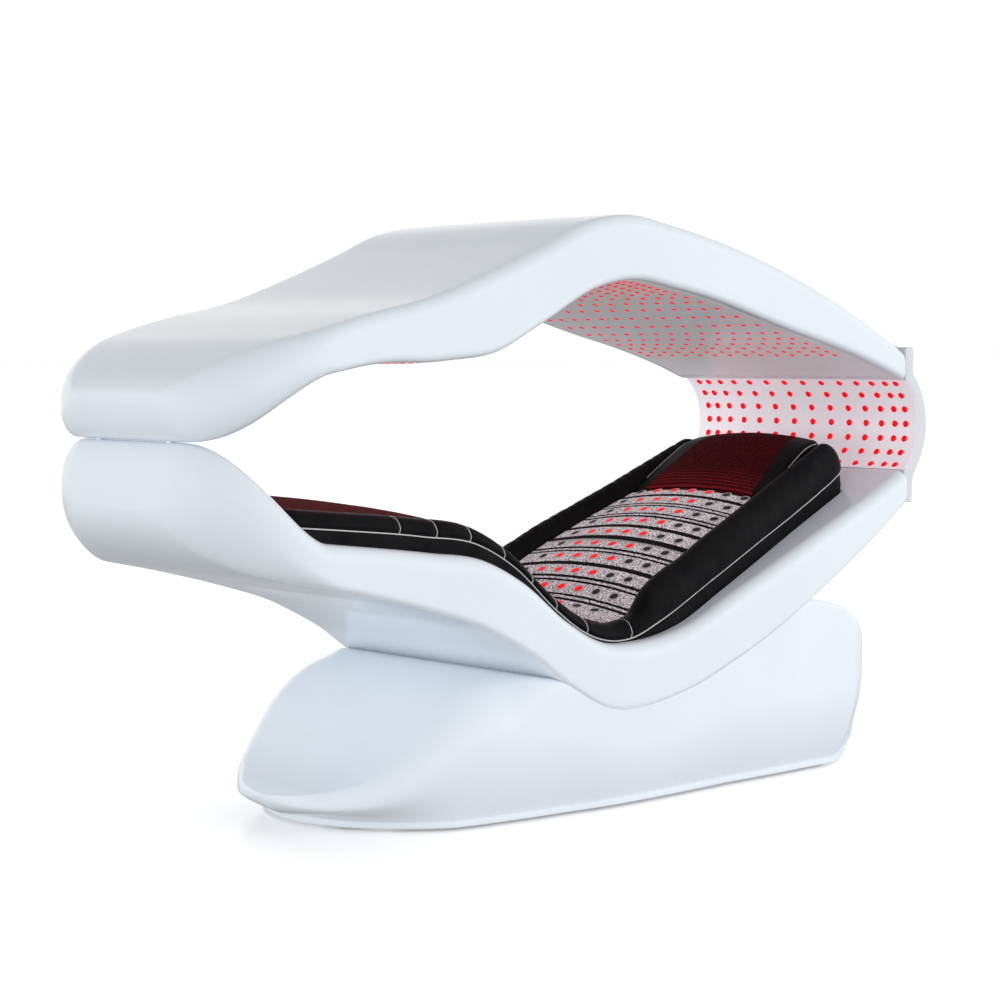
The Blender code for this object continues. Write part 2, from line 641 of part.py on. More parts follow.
# Couch: a hollow moulding with a recess for the pad, whose ledge carries the deck and its steel rails
def make_couch():
    head, foot = PAD_HEAD - PAD_PLAY, BODY_LENGTH - PAD_FOOT
    step = foot + SHELL_WALL
    low_edge, high_edge = foot_edge(SHELL_LOW_EDGE), foot_edge(SHELL_EDGE)
    shell = place("couch_shell", slab(
        along(FIT - HEAD_BACK, BODY_LENGTH), couch_low, couch_high, shell_half, low_edge, high_edge, steps=3),
        GLOSS_WHITE)
    seat = offset(bed_top, -DECK - FIT)

    def hollow_high(d):
        return seat(d) - LEDGE if d <= step else couch_high(d) - SHELL_WALL

    shape(shell, place("couch_hollow", slab(
        along(SHELL_WALL - HEAD_BACK, step) + along(step + FIT, BODY_LENGTH - FOOT_FLAT),
        offset(couch_low, SHELL_WALL), hollow_high, offset(shell_half, -SHELL_WALL), low_edge, high_edge,
        steps=1), GLOSS_WHITE))
    shape(shell, place("couch_recess", slab(
        along(head, foot), seat, offset(couch_high, WIDTH), recess_half), GLOSS_WHITE))
    shape(shell, place("couch_window", slab(
        along(head + LEDGE_WIDE, foot - LEDGE_WIDE), offset(seat, -2 * LEDGE), offset(seat, LEDGE),
        offset(recess_half, -LEDGE_WIDE)), GLOSS_WHITE))
    place("couch_deck", slab(
        along(head + FIT, foot - FIT), offset(bed_top, -DECK), bed_top, offset(recess_half, -FIT)),
        BOARD_WHITE)
    for side, y in (("left", RAIL_Y), ("right", -RAIL_Y)):
        place(f"couch_{side}_rail", slab(
            along(head + 2 * LEDGE_WIDE, foot - 2 * LEDGE_WIDE), offset(seat, -RAIL), seat,
            constant(RAIL / 2), centre=y), STEEL)
    for side, y in (("left", WIDTH / 6), ("right", -WIDTH / 6)):
        under = np.linspace(REST_AT - BUMPER, REST_AT + BUMPER, 9)
        low, high = float(couch_high(under).max()) + FIT, float(canopy_low(under).min()) - FIT
        ends = [(HEAD_X - REST_AT, y, z) for z in (low, high)]
        place(f"rest_bumper_{side}", rod(*ends, BUMPER, 16), RUBBER)


# Pad: a black bolster with two rolls and a piped side, and three fabric panels in the channel between them.
# The rolls are high beside the back and low beside the legs. All lines are heights above the couch's rim.
roll_rise = line([
    (PAD_HEAD, 0.138), (0.20, 0.143), (0.45, 0.143), (0.72, 0.139), (0.83, 0.130), (0.88, 0.106),
    (0.92, 0.058), (LEG_JOIN, 0.048), (1.15, 0.052), (1.35, 0.068), (BODY_LENGTH - PAD_FOOT, 0.066)])
piping_rise = line([
    (PAD_HEAD, 0.056), (0.15, 0.045), (0.29, 0.036), (0.465, 0.038), (0.625, 0.038), (0.78, 0.036),
    (0.87, 0.022), (0.95, 0.005), (1.10, 0.010), (1.30, 0.030), (1.60, 0.033),
    (BODY_LENGTH - PAD_FOOT, 0.027)])
pillow_rise = line([
    (PAD_HEAD, PILLOW - 0.016), (0.17, PILLOW), (0.24, PILLOW - 0.012), (0.31, PILLOW - 0.032),
    (HEAD_JOIN, PILLOW - 0.047)])
insert_rise = line([
    (HEAD_JOIN, SEAT_PAD), (0.50, SEAT_PAD + 0.002), (0.63, SEAT_PAD - 0.002), (0.74, SEAT_PAD - 0.006),
    (0.83, SEAT_PAD - 0.026), (0.90, SEAT_PAD - 0.055), (LEG_JOIN, SEAT_PAD - 0.058)])
leg_rise = line([
    (LEG_JOIN, LEG_PAD - 0.034), (1.10, LEG_PAD - 0.022), (1.25, LEG_PAD - 0.008), (1.40, LEG_PAD),
    (BODY_LENGTH - PAD_FOOT, LEG_PAD)])


def bolster_ring(d, first, last):
    """A channel section with two puffed rolls, pinched a little at each cross seam and lower at both ends."""
    floor = float(bed_top(d)) + FIT
    near_end = min(d - first, last - d)
    end = BOLSTER_END + (1 - BOLSTER_END) * math.sin(min(near_end / BOLSTER_ROUND, 1.0) * math.pi / 2) ** 0.5
    seam = SEAM_DIP * (0.5 + 0.5 * math.cos(math.tau * d / SEAM_PITCH))
    high = RECESS + float(roll_rise(d)) * end - seam
    low = RECESS + float(piping_rise(d)) * end
    inner = float(recess_half(d)) - PAD_PLAY - BOLSTER
    outer = inner + BOLSTER * (1 - BOLSTER_END_NARROW * (1 - end) / (1 - BOLSTER_END))
    puff = BOLSTER_PUFF
    tall = high - low
    side = [
        (outer - puff, 0.0), (outer, RECESS * 0.5), (outer - puff * 0.5, low),
        (outer - puff * 0.7, low + tall * 0.4), (outer - puff * 2, low + tall * 0.78),
        ((outer + inner) / 2, high), (inner + puff * 2, high - puff),
        (inner, high - (high - BOLSTER_BASE) * 0.35), (inner, BOLSTER_BASE)]
    loop = side + [(-y, z) for y, z in reversed(side)]
    return [(HEAD_X - d, y, floor + z) for y, z in loop]


def make_pad():
    first, last = PAD_HEAD, BODY_LENGTH - PAD_FOOT - PAD_PLAY
    curl = BOLSTER_ROUND / 3
    body = [d for d in PUFF_STATIONS if first + BOLSTER_ROUND < d < last - BOLSTER_ROUND]
    stops = [first, first + curl, first + BOLSTER_ROUND, *body, last - BOLSTER_ROUND, last - curl, last]
    place("pad_bolster", loft([bolster_ring(d, first, last) for d in stops]), BLACK_LEATHER)
    inner = offset(recess_half, -PAD_PLAY - BOLSTER - BOLSTER_PUFF)
    channel = offset(bed_top, BOLSTER_BASE + 2 * FIT)
    place("pad_light_mat", slab(
        along(HEAD_JOIN, LEG_JOIN), channel, offset(channel, MAT), offset(inner, -LIP)), MAT_BLACK)

    def panel(name, start, stop, under, rise, material):
        place(name, slab(
            along(start, stop), offset(channel, under), lambda d: bed_top(d) + RECESS + rise(d), inner,
            constant(FIT * 10), constant(PAD_EDGE), PAD_CROWN, ends=(PAD_EDGE, PAD_EDGE), steps=2), material)

    panel("pad_head_panel", first + BOLSTER_PUFF, HEAD_JOIN - FIT, 0.0, pillow_rise, RED_MESH)
    panel("pad_seat_panel", HEAD_JOIN + FIT, LEG_JOIN - FIT, MAT + FIT, insert_rise, GREY_FABRIC)
    panel("pad_leg_panel", LEG_JOIN + FIT, last - BOLSTER_PUFF, 0.0, leg_rise, RED_MESH)


# Base: a low pedestal moulding that leans in to a lip at the floor, over a steel plate with posts and saddles
base_front = line([
    (BASE_NECK, 0.318), (1.30, 0.329), (1.38, 0.320), (1.45, 0.292), (1.52, 0.240), (1.58, 0.178),
    (1.64, 0.128), (BASE_TIP - 0.075, 0.098), (BASE_TIP - 0.03, 0.086), (BASE_TIP, 0.078)])
base_inset = line([
    (BASE_REAR, 0.105), (BASE_REAR + 0.03, 0.055), (BASE_REAR + 0.08, 0.023), (0.31, 0.009), (0.60, 0.003),
    (1.10, 0.003), (1.30, 0.014), (1.42, 0.033), (1.52, 0.065), (1.60, 0.107), (1.66, 0.155),
    (BASE_TIP - 0.075, 0.205), (BASE_TIP - 0.02, 0.295), (BASE_TIP, 0.345)])


def base_plan(d):
    """Half width of the pedestal at its widest, set in from the couch's side."""
    return WIDTH / 2 - base_inset(d)


def base_roll(d, reach):
    """1 along the base, falling on a quarter ellipse to the bulge of its back."""
    t = np.clip((BASE_REAR + reach - np.asarray(d, float)) / reach, 0, 1)
    return np.maximum(np.sqrt(1 - t * t), BASE_BLUNT)


def base_high(d):
    """Top of the pedestal, which runs up into the couch and is cut back to it."""
    top = np.minimum(base_front(np.maximum(d, BASE_NECK)), couch_low(d) + LIP)
    top = np.where(np.asarray(d) < BASE_NECK, np.minimum(couch_low(d) + LIP, BASE_CREST), top)
    return BASE_BULGE_Z + (top - BASE_BULGE_Z) * base_roll(d, BASE_TOP_REACH)


def base_low(d):
    """Bottom edge, which turns up under the back and under the tip."""
    u = np.clip((np.asarray(d, float) - BASE_TIP + TIP_TUCK) / TIP_TUCK, 0, 1)
    floor = BASE_FLOOR + TIP_RISE * (1 - np.sqrt(1 - u * u))
    return BASE_BULGE_Z + (floor - BASE_BULGE_Z) * base_roll(d, BASE_REACH)


def base_ring(d, wall, bottom, steps):
    """A pedestal section: lip, a side that leans out as it rises, and a shoulder that widens towards the tip.

    With a wall it is the inside of that section, which goes down to bottom.
    """
    half, low, high = float(base_plan(d)), float(base_low(d)), float(base_high(d))
    tall = high - low
    lean = min(BASE_LEAN, 0.6 * tall)
    tuck = min(BASE_TUCK * lean / BASE_LEAN, 0.6 * half)
    shoulder = BASE_SHOULDER * float(ease(d, BASE_NECK, BASE_NECK + SHOULDER_GROWS))
    edge = min(2 * BASE_WALL + shoulder, 0.35 * tall, 0.8 * half)
    lip = half - tuck + BASE_LIP
    side = [(lip, low), (lip, low + BASE_LIP)] if not wall else [(half - tuck - wall, bottom)]
    side += [(half - wall - tuck * (1 - t) ** 2, low + 2 * BASE_LIP + (lean - 2 * BASE_LIP) * t)
             for t in (0.0, 0.3, 0.65)]
    side += [(half - wall - edge + edge * math.cos(a), high - wall - edge + edge * math.sin(a))
             for a in np.linspace(0, math.pi / 2, steps + 1)]
    return [(HEAD_X - d, y, z) for y, z in side + [(-y, z) for y, z in reversed(side)]]


def make_base():
    rear = [BASE_REAR + BASE_REACH * (1 - math.sin(math.radians(a))) for a in (90, 74, 58, 40, 20)]
    front = [BASE_NECK + (BASE_TIP - BASE_NECK) * math.sin(a) for a in np.linspace(0, math.pi / 2, 13)[1:]]
    body = spread(BASE_REAR + BASE_REACH, BASE_NECK, 0.12)
    shell = place("base_shell", loft([base_ring(d, 0.0, 0.0, 3) for d in rear + body + front]), GLOSS_WHITE)
    shut = [(d, float(base_low(d)) + BASE_WALL) for d in rear[1:] + body[:1]]
    bare = [(d, -BASE_FLOOR) for d in [body[0] + FIT, *body[1:], *front[:-4]]]
    inside = [base_ring(d, BASE_WALL, bottom, 1) for d, bottom in shut + bare]
    hollow = place("base_hollow", loft(inside), GLOSS_WHITE)
    wall = BASE_WALL
    bay_back = HEAD_X - BAY_AT
    outside = HEAD_X - BASE_REAR + LIP
    shape(hollow, place("bay_walls", block(
        (bay_back - wall, -BAY_HALF - wall, BAY_LOW - wall), (outside, BAY_HALF + wall, BAY_HIGH + wall)),
        GLOSS_WHITE))
    shape(shell, hollow)
    shape(shell, place("bay", block(
        (bay_back, -BAY_HALF, BAY_LOW), (outside, BAY_HALF, BAY_HIGH)), GLOSS_WHITE))
    window = (BAY_HALF - BAY_LEDGE, BAY_LOW + BAY_LEDGE, BAY_HIGH - BAY_LEDGE)
    shape(shell, place("bay_window", block(
        (bay_back - 2 * wall, -window[0], window[1]), (outside, window[0], window[2])), GLOSS_WHITE))
    couch_seat = place("couch_seat", slab(
        along(FIT, FOOT_STATIONS[0]), offset(couch_low, -FIT), offset(couch_low, WIDTH), constant(WIDTH)),
        GLOSS_WHITE)
    shape(shell, couch_seat)
    make_floor_plate(couch_seat)
    make_service_panel(bay_back - wall)


def make_floor_plate(couch_seat):
    top = BASE_FLOOR + PLATE_THICK
    first, last = BASE_REAR + BASE_REACH + PLATE_INSET, BASE_TIP - TIP_TUCK - 2 * PLATE_INSET
    place("base_plate", slab(
        spread(first, last, 0.14), constant(FOOT_HIGH + FIT), constant(top),
        offset(base_plan, -BASE_TUCK - PLATE_INSET)), DARK_STEEL)
    for end, at in (("front", FRONT_POST + SADDLE_LONG), ("rear", REAR_POST - SADDLE_LONG)):
        for side, y in (("left", FOOT_Y), ("right", -FOOT_Y)):
            x = HEAD_X - at
            place(f"foot_{end}_{side}", rod((x, y, 0.0), (x, y, FOOT_HIGH), FOOT_RADIUS, 24), RUBBER)
    for end, at in (("front", FRONT_POST), ("rear", REAR_POST)):
        half = POST_LONG / 2
        saddle_half = SADDLE_LONG / 2
        reach = along(at - saddle_half, at + saddle_half)
        crest = [float(couch_low(d)) for d in reach]
        seat = min(crest) - SADDLE_HIGH
        saddle = place(f"saddle_{end}", block(
            (HEAD_X - at - saddle_half, -POST_WIDE / 2, seat),
            (HEAD_X - at + saddle_half, POST_WIDE / 2, max(crest) + LIP)), DARK_STEEL)
        shape(saddle, couch_seat)
        x0, x1 = HEAD_X - at - half, HEAD_X - at + half
        post = place(f"post_{end}", block(
            (x0, -POST_WIDE / 2, top + FIT), (x1, POST_WIDE / 2, seat - FIT)), STEEL)
        shape(post, place(f"post_bore_{end}", block(
            (x0 + POST_WALL, -POST_WIDE, top + POST_WALL), (x1 - POST_WALL, POST_WIDE, seat - POST_WALL)),
            STEEL))
    make_electronics(top + FIT)


def make_electronics(floor):
    """A finned power supply and a control box on the floor plate, between the two posts."""
    middle = HEAD_X - (FRONT_POST + REAR_POST) / 2
    long, wide, high, fins = 0.26, 0.15, 0.085, 8
    y0 = 0.03
    pitch = wide / fins
    comb = [(y0, floor), (y0 + wide, floor)]
    for k in reversed(range(fins)):
        left = y0 + pitch * k
        comb += [(left + pitch * 0.95, floor + high), (left + pitch * 0.45, floor + high)]
        comb += [(left + pitch * 0.45, floor + high * 0.6), (left, floor + high * 0.6)] if k else []
    comb[-1] = (y0, floor + high)
    ends = (middle - long / 2, middle + long / 2)
    place("power_supply", loft([[(x, y, z) for y, z in comb] for x in ends]), ALUMINIUM)
    box_long, box_wide, box_high, lid = 0.22, 0.16, 0.055, 0.006
    levels = [(0.0, floor), (0.0, floor + box_high), (lid, floor + box_high + lid)]
    x0, x1 = middle - box_long / 2, middle + box_long / 2
    near, far = -y0, -y0 - box_wide
    rings = [[(x0 + i, near - i, z), (x1 - i, near - i, z), (x1 - i, far + i, z), (x0 + i, far + i, z)]
             for i, z in levels]
    place("control_unit", loft(rings), BLACK_PLASTIC)


# Service bay: a vented panel with the fan behind it, the mains inlet and the rocker
def make_service_panel(seat_x):
    front = seat_x - FIT
    back = front - SERVICE_PANEL
    middle_z = (BAY_LOW + BAY_HIGH) / 2
    half, low, high = BAY_HALF - FIT, BAY_LOW + FIT, BAY_HIGH - FIT
    panel = place("service_panel", block((back, -half, low), (front, half, high)), PANEL_WHITE)
    pitch = FAN_SIZE / SLOT_COUNT
    for k in range(SLOT_COUNT):
        z = middle_z + (k - (SLOT_COUNT - 1) / 2) * pitch
        reach = math.sqrt((FAN_SIZE / 2) ** 2 - (z - middle_z) ** 2) - pitch / 4
        low, high = z - pitch / 4, z + pitch / 4
        shape(panel, place(f"slot_{k}", block(
            (back - LIP, FAN_Y - reach, low), (front + LIP, FAN_Y + reach, high)), PANEL_WHITE))
    make_fan(back - FIT, middle_z)

    inlet_z = middle_z - INLET_HIGH * 1.5
    inlet_y, inlet_h = INLET_WIDE / 2, INLET_HIGH / 2
    flange, deep, wall = 0.005, 0.03, 0.003
    shape(panel, place("inlet_hole", block(
        (back - LIP, SWITCH_Y - inlet_y, inlet_z - inlet_h),
        (front + LIP, SWITCH_Y + inlet_y, inlet_z + inlet_h)), PANEL_WHITE))
    grip = [(front + FIT, flange), (front + FIT + wall, flange)]
    body = [(back - deep, -FIT * 2), (front + FIT, -FIT * 2), *grip]
    rings = [[(x, SWITCH_Y + sy * (inlet_y + g), inlet_z + sz * (inlet_h + g))
              for sy, sz in ((-1, -1), (1, -1), (1, 1), (-1, 1))] for x, g in body]
    inlet = place("mains_inlet", loft(rings), BLACK_PLASTIC)
    shape(inlet, place("inlet_recess", block(
        (back - deep + wall, SWITCH_Y - inlet_y + wall, inlet_z - inlet_h + wall),
        (front + LIP, SWITCH_Y + inlet_y - wall, inlet_z + inlet_h - wall)), BLACK_PLASTIC))

    rocker_z = middle_z + INLET_HIGH
    run = 0.0005
    shape(panel, place("rocker_hole", block(
        (back - LIP, SWITCH_Y - ROCKER_WIDE / 2 - run, rocker_z - ROCKER_HIGH / 2 - 2 * run),
        (front + LIP, SWITCH_Y + ROCKER_WIDE / 2 + run, rocker_z + ROCKER_HIGH / 2 + 2 * run)), PANEL_WHITE))
    deep, tall = 0.005, ROCKER_HIGH / 2
    outline = [(-deep, -tall * 0.8), (-deep, tall * 0.8), (0.0, tall), (deep, tall * 0.9), (deep * 0.5, 0.0),
               (deep, -tall * 0.9), (0.0, -tall)]
    rocker = place("mains_rocker", loft(
        [[(x, y, z) for x, z in outline] for y in (-ROCKER_WIDE / 2, ROCKER_WIDE / 2)]), BLACK_PLASTIC)
    rocker.location = ((front + back) / 2, SWITCH_Y, rocker_z)
    rocker.rotation_euler = (0.0, -ROCKER_TILT, 0.0)


def make_fan(seat_x, middle_z):
    half = FAN_SIZE / 2
    frame = place("fan_frame", block(
        (seat_x - FAN_DEEP, FAN_Y - half, middle_z - half), (seat_x, FAN_Y + half, middle_z + half)),
        BLACK_PLASTIC)
    bore = half * 0.94
    web = 0.004
    ends = [(x, FAN_Y, middle_z) for x in (seat_x - FAN_DEEP + web, seat_x + LIP)]
    shape(frame, place("fan_bore", rod(*ends, bore, 28), BLACK_PLASTIC))
    spoke = HUB_RADIUS * 0.35
    for k in range(4):
        turn = Matrix.Rotation(k * math.pi / 2, 3, "X")
        corners = [turn @ Vector((0.0, y, z)) for y, z in ((spoke, spoke), (bore * 0.93, spoke),
                   (bore * 0.66, bore * 0.66), (spoke, bore * 0.93))]
        rings = [[(x, FAN_Y + c.y, middle_z + c.z) for c in corners]
                 for x in (seat_x - FAN_DEEP - LIP, seat_x - FAN_DEEP + 2 * web)]
        shape(frame, place(f"fan_window_{k}", loft(rings), BLACK_PLASTIC))
    deep = FAN_DEEP - web - FIT - FAN_RUN
    rotor = place("fan_rotor", rod((-deep / 2, 0, 0), (deep / 2, 0, 0), HUB_RADIUS, 21), BLACK_PLASTIC)
    blades = bmesh.new()
    root, tip, thick = HUB_RADIUS * 0.9, bore - FAN_RUN, 0.0016
    for k in range(FAN_BLADES):
        turn = Matrix.Rotation(k * math.tau / FAN_BLADES, 3, "X")
        rings = []
        for r, pitch in ((root, 48), (tip, 28)):
            lean = math.radians(pitch)
            chord = Vector((math.sin(lean), 0, math.cos(lean))) * deep * 0.42
            normal = Vector((math.cos(lean), 0, -math.sin(lean))) * thick
            out = Vector((0, math.sqrt(r ** 2 - chord.z ** 2), 0))
            corners = (-chord - normal, chord - normal, chord + normal, -chord + normal)
            rings.append([turn @ (out + corner) for corner in corners])
        loops = [[blades.verts.new(p) for p in ring] for ring in rings]
        for i in range(4):
            j = (i + 1) % 4
            blades.faces.new((loops[0][i], loops[0][j], loops[1][j], loops[1][i]))
        blades.faces.new(loops[0])
        blades.faces.new(loops[1])
    tool = place("rotor_blades", blades, BLACK_PLASTIC)
    shape(rotor, tool, "UNION")
    centre = (seat_x - FAN_DEEP + web + FIT + deep / 2, FAN_Y, middle_z)
    rotor.location = centre
    tool.location = centre


def hang_on_axis(names):
    """Parents the canopy's pieces to an empty on the hinge axis, so that they turn about it."""
    axis_x, axis_z = hinge_axis()
    pivot = bpy.data.objects.new("canopy_pivot", None)
    pivot.location = (PANEL_X + axis_x, 0.0, axis_z)
    bpy.context.scene.collection.objects.link(pivot)
    bpy.context.view_layer.update()
    for name in names:
        piece = bpy.data.objects[name]
        piece.parent = pivot
        piece.matrix_parent_inverse = pivot.matrix_world.inverted()


make_base()
make_couch()
make_pad()
make_head()
canopy_shell, rib_top = make_canopy()
for arm_side, arm_y in (("left", ARM_Y), ("right", -ARM_Y)):
    make_hinge_arm(arm_side, arm_y, rib_top, canopy_shell)
hang_on_axis([
    "canopy_shell", "canopy_light_panel", "canopy_head_board", "canopy_body_board", "canopy_leg_board",
    "canopy_left_rib", "canopy_right_rib", "hinge_arm_left", "hinge_arm_right", "hinge_bush_left",
    "hinge_bush_right"])
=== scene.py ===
"""Looks of a red light therapy couch: moulded white shells, a sewn pad and fields of red lamps.

Metres throughout, +Z up and the head end at +X. A distance called d runs along the bed from the head plane
towards the feet, so that a point there has x = HEAD_X - d. The near side is -Y.
"""
import json
import math

import bmesh
import bpy
import numpy as np
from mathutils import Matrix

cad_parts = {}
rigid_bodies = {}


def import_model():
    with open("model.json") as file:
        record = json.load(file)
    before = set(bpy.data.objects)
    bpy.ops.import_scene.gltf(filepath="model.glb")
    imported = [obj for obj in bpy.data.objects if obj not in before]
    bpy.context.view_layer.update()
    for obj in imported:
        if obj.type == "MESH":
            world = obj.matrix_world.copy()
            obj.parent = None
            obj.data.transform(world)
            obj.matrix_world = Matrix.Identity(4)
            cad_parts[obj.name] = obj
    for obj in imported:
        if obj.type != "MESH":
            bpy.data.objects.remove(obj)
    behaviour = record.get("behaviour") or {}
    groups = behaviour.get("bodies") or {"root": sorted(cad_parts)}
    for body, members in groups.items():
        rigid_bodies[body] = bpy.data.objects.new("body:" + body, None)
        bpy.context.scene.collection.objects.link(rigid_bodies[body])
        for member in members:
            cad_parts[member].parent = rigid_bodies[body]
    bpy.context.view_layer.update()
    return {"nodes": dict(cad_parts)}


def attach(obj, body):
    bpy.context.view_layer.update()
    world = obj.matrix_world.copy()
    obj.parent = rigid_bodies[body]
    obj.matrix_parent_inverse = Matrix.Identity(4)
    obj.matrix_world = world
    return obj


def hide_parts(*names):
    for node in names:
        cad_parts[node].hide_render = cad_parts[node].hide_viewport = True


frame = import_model()
nodes = frame["nodes"]

# Studio: the camera stands off the foot corner on the near side, level with the top of the pad. The floor is
# a pale sheet under a wide soft sky. Two far lamps and a soft box light everything, and the others each lift
# one piece: the floor, the base, the pad's insert and the underside of the leg rest.
CAMERA_PLACE = (-3.754, -4.10107, 1.04826)
CAMERA_DOWN = math.radians(3.556)
CAMERA_TURN = math.radians(-42)
CAMERA_LENS = 81.68
SKY = ((-1.0, 0.36), (-0.45, 0.32), (-0.12, 0.50), (-0.02, 1.0), (0.25, 1.05), (0.5, 0.62), (0.9, 0.36))
KEY = (0.6, -0.78, 0.15), 1.4, 50  # far lamps: where from, strength, softness in degrees
FILL = (-1.0, 0.1, -0.12), 1.05, 40
FLOOR_LIFT = (0.0, 0.0, 1.0), 1.7, 70
FLOOR_SHADE = (0.0, 0.0, 1.0), 0.6, 70
BASE_LIFT = (-0.4, -0.1, 0.9), 0.38, 60
PAD_LIFT = (-0.5, -0.5, 0.7), 0.7, 60
HEAD_BOX = (1.9, -2.6, 1.0), (0.9, -0.3, 0.75), 7.0, 1.2  # soft boxes: place, aim, power, size
UNDER_BOX = (-0.62, 0.0, 0.36), (-0.30, 0.0, 0.46), 0.25, 0.5
FLOOR_SPAN = 800.0

scene = bpy.context.scene
scene.view_settings.view_transform = "Standard"
camera = bpy.data.objects.new("camera", bpy.data.cameras.new("camera"))
camera.data.lens = CAMERA_LENS
camera.data.sensor_width = 36.0
camera.location = CAMERA_PLACE
camera.rotation_euler = (math.pi / 2 - CAMERA_DOWN, 0.0, CAMERA_TURN)
scene.collection.objects.link(camera)
scene.camera = camera


def wire(tree, kind, inputs, **settings):
    """Adds a node to a node tree. Inputs are plain values or the outputs of other nodes."""
    made = tree.nodes.new(kind)
    for option, value in settings.items():
        setattr(made, option, value)
    for socket, value in inputs.items():
        if isinstance(value, bpy.types.NodeSocket):
            tree.links.new(value, made.inputs[socket])
        else:
            made.inputs[socket].default_value = value
    return made.outputs


def finish(name, colour, roughness, **sockets):
    """A material whose constants sit on the shader's own sockets. Underscores in a name stand for spaces."""
    material = bpy.data.materials.new(name)
    material.use_nodes = True
    shader = material.node_tree.nodes["Principled BSDF"]
    shader.inputs["Base Color"].default_value = (*colour, 1.0)
    shader.inputs["Roughness"].default_value = roughness
    for socket, value in sockets.items():
        shader.inputs[socket.replace("_", " ")].default_value = value
    return material


def feed(material, socket, value):
    """Leads a pattern into a socket of the material's shader."""
    tree = material.node_tree
    tree.links.new(value, tree.nodes["Principled BSDF"].inputs[socket])


def noise(material, scale, detail=3.0, stretch=(1.0, 1.0, 1.0)):
    """A cloud of noise on Object coordinates, drawn out along the axes that have a small stretch."""
    tree = material.node_tree
    place = wire(tree, "ShaderNodeTexCoord", {})["Object"]
    place = wire(tree, "ShaderNodeMapping", {"Vector": place, "Scale": stretch})["Vector"]
    return wire(tree, "ShaderNodeTexNoise", {"Vector": place, "Scale": scale, "Detail": detail})["Fac"]


def ramp(material, value, low, high, start=0.0, stop=1.0):
    """A number or a colour that goes from low to high as the value goes from start to stop."""
    tree = material.node_tree
    span = {"Value": value, "From Min": start, "From Max": stop}
    if not isinstance(low, tuple):
        return wire(tree, "ShaderNodeMapRange", {**span, "To Min": low, "To Max": high})["Result"]
    share = wire(tree, "ShaderNodeMapRange", span)["Result"]
    ends = {0: share, 6: (*low, 1.0), 7: (*high, 1.0)}
    return wire(tree, "ShaderNodeMix", ends, data_type="RGBA")[2]


def drift(material, socket, cloud, low, high, *band):
    """Lets a socket wander from low to high on a cloud of noise of the scale, detail and stretch given."""
    feed(material, socket, ramp(material, noise(material, *cloud), low, high, *band))


def bump(material, height, depth, strength=1.0):
    """Raises a surface in its shading by a height pattern, depth being the full rise in metres."""
    tree = material.node_tree
    feed(material, "Normal", wire(tree, "ShaderNodeBump", {
        "Height": height, "Distance": depth, "Strength": strength})["Normal"])


floor_mesh = bpy.data.meshes.new("floor")
corner = FLOOR_SPAN / 2
floor_mesh.from_pydata([(x * corner, y * corner, 0) for x, y in ((-1, -1), (1, -1), (1, 1), (-1, 1))],
                       [], [(0, 1, 2, 3)])
floor = bpy.data.objects.new("floor", floor_mesh)
scene.collection.objects.link(floor)
floor_paint = finish("floor_paint", (0.93, 0.93, 0.935), 0.22, Specular_IOR_Level=0.35)
drift(floor_paint, "Roughness", (3.0,), 0.18, 0.26)
floor_mesh.materials.append(floor_paint)
floor.visible_diffuse = False
floor.visible_glossy = False
floor.visible_shadow = False

world = bpy.data.worlds.new("sky")
scene.world = world
world.use_nodes = True
sky = world.node_tree
upward = wire(sky, "ShaderNodeTexCoord", {})["Generated"]
upward = wire(sky, "ShaderNodeSeparateXYZ", {"Vector": upward})["Z"]
upward = wire(sky, "ShaderNodeMapRange", {"Value": upward, "From Min": -1.0})["Result"]
sky_light = wire(sky, "ShaderNodeValToRGB", {"Fac": upward})["Color"]
sky_stops = sky_light.node.color_ramp.elements
while len(sky_stops) < len(SKY):
    sky_stops.new(1.0)
for stop, (height, light) in zip(sky_stops, SKY):
    stop.position = (height + 1) / 2
    stop.color = (light, light, light, 1.0)
sky.links.new(sky_light, sky.nodes["Background"].inputs["Strength"])
sky.nodes["Background"].inputs["Color"].default_value = (1.0, 1.0, 1.0, 1.0)


def lamp(name, kind, towards, strength, **settings):
    """A lamp that shines from the direction given and is unseen in gloss."""
    made = bpy.data.objects.new(name, bpy.data.lights.new(name, kind))
    made.data.energy = strength
    for option, value in settings.items():
        setattr(made.data, option, value)
    x, y, z = towards
    made.rotation_euler = (math.atan2(math.hypot(x, y), z), 0.0, math.atan2(x, -y))
    made.visible_glossy = False
    scene.collection.objects.link(made)
    return made


def sun(name, towards, strength, softness):
    """A far lamp, spread by so many degrees."""
    return lamp(name, "SUN", towards, strength, angle=math.radians(softness))


sun("key_lamp", *KEY)
sun("fill_lamp", *FILL)


def only(lamp, shadows=False):
    """The list of the only pieces that a lamp lights. Without shadows it reaches them through the others."""
    lamp.data.use_shadow = shadows
    lamp.light_linking.receiver_collection = bpy.data.collections.new(lamp.name)
    return lamp.light_linking.receiver_collection.objects


only(sun("floor_lamp", *FLOOR_LIFT)).link(floor)
only(sun("floor_shade", *FLOOR_SHADE), True).link(floor)
base_lit = only(sun("base_lamp", *BASE_LIFT))
pad_lit = only(sun("pad_lamp", *PAD_LIFT))


def softbox(name, place, aim, power, size):
    """A square lamp at a place, turned to the point it is aimed at and unseen by the camera."""
    made = lamp(name, "AREA", np.subtract(place, aim), power, size=size)
    made.location = place
    made.visible_camera = False
    return made


softbox("head_lamp", *HEAD_BOX)
under_lit = only(softbox("under_lamp", *UNDER_BOX))

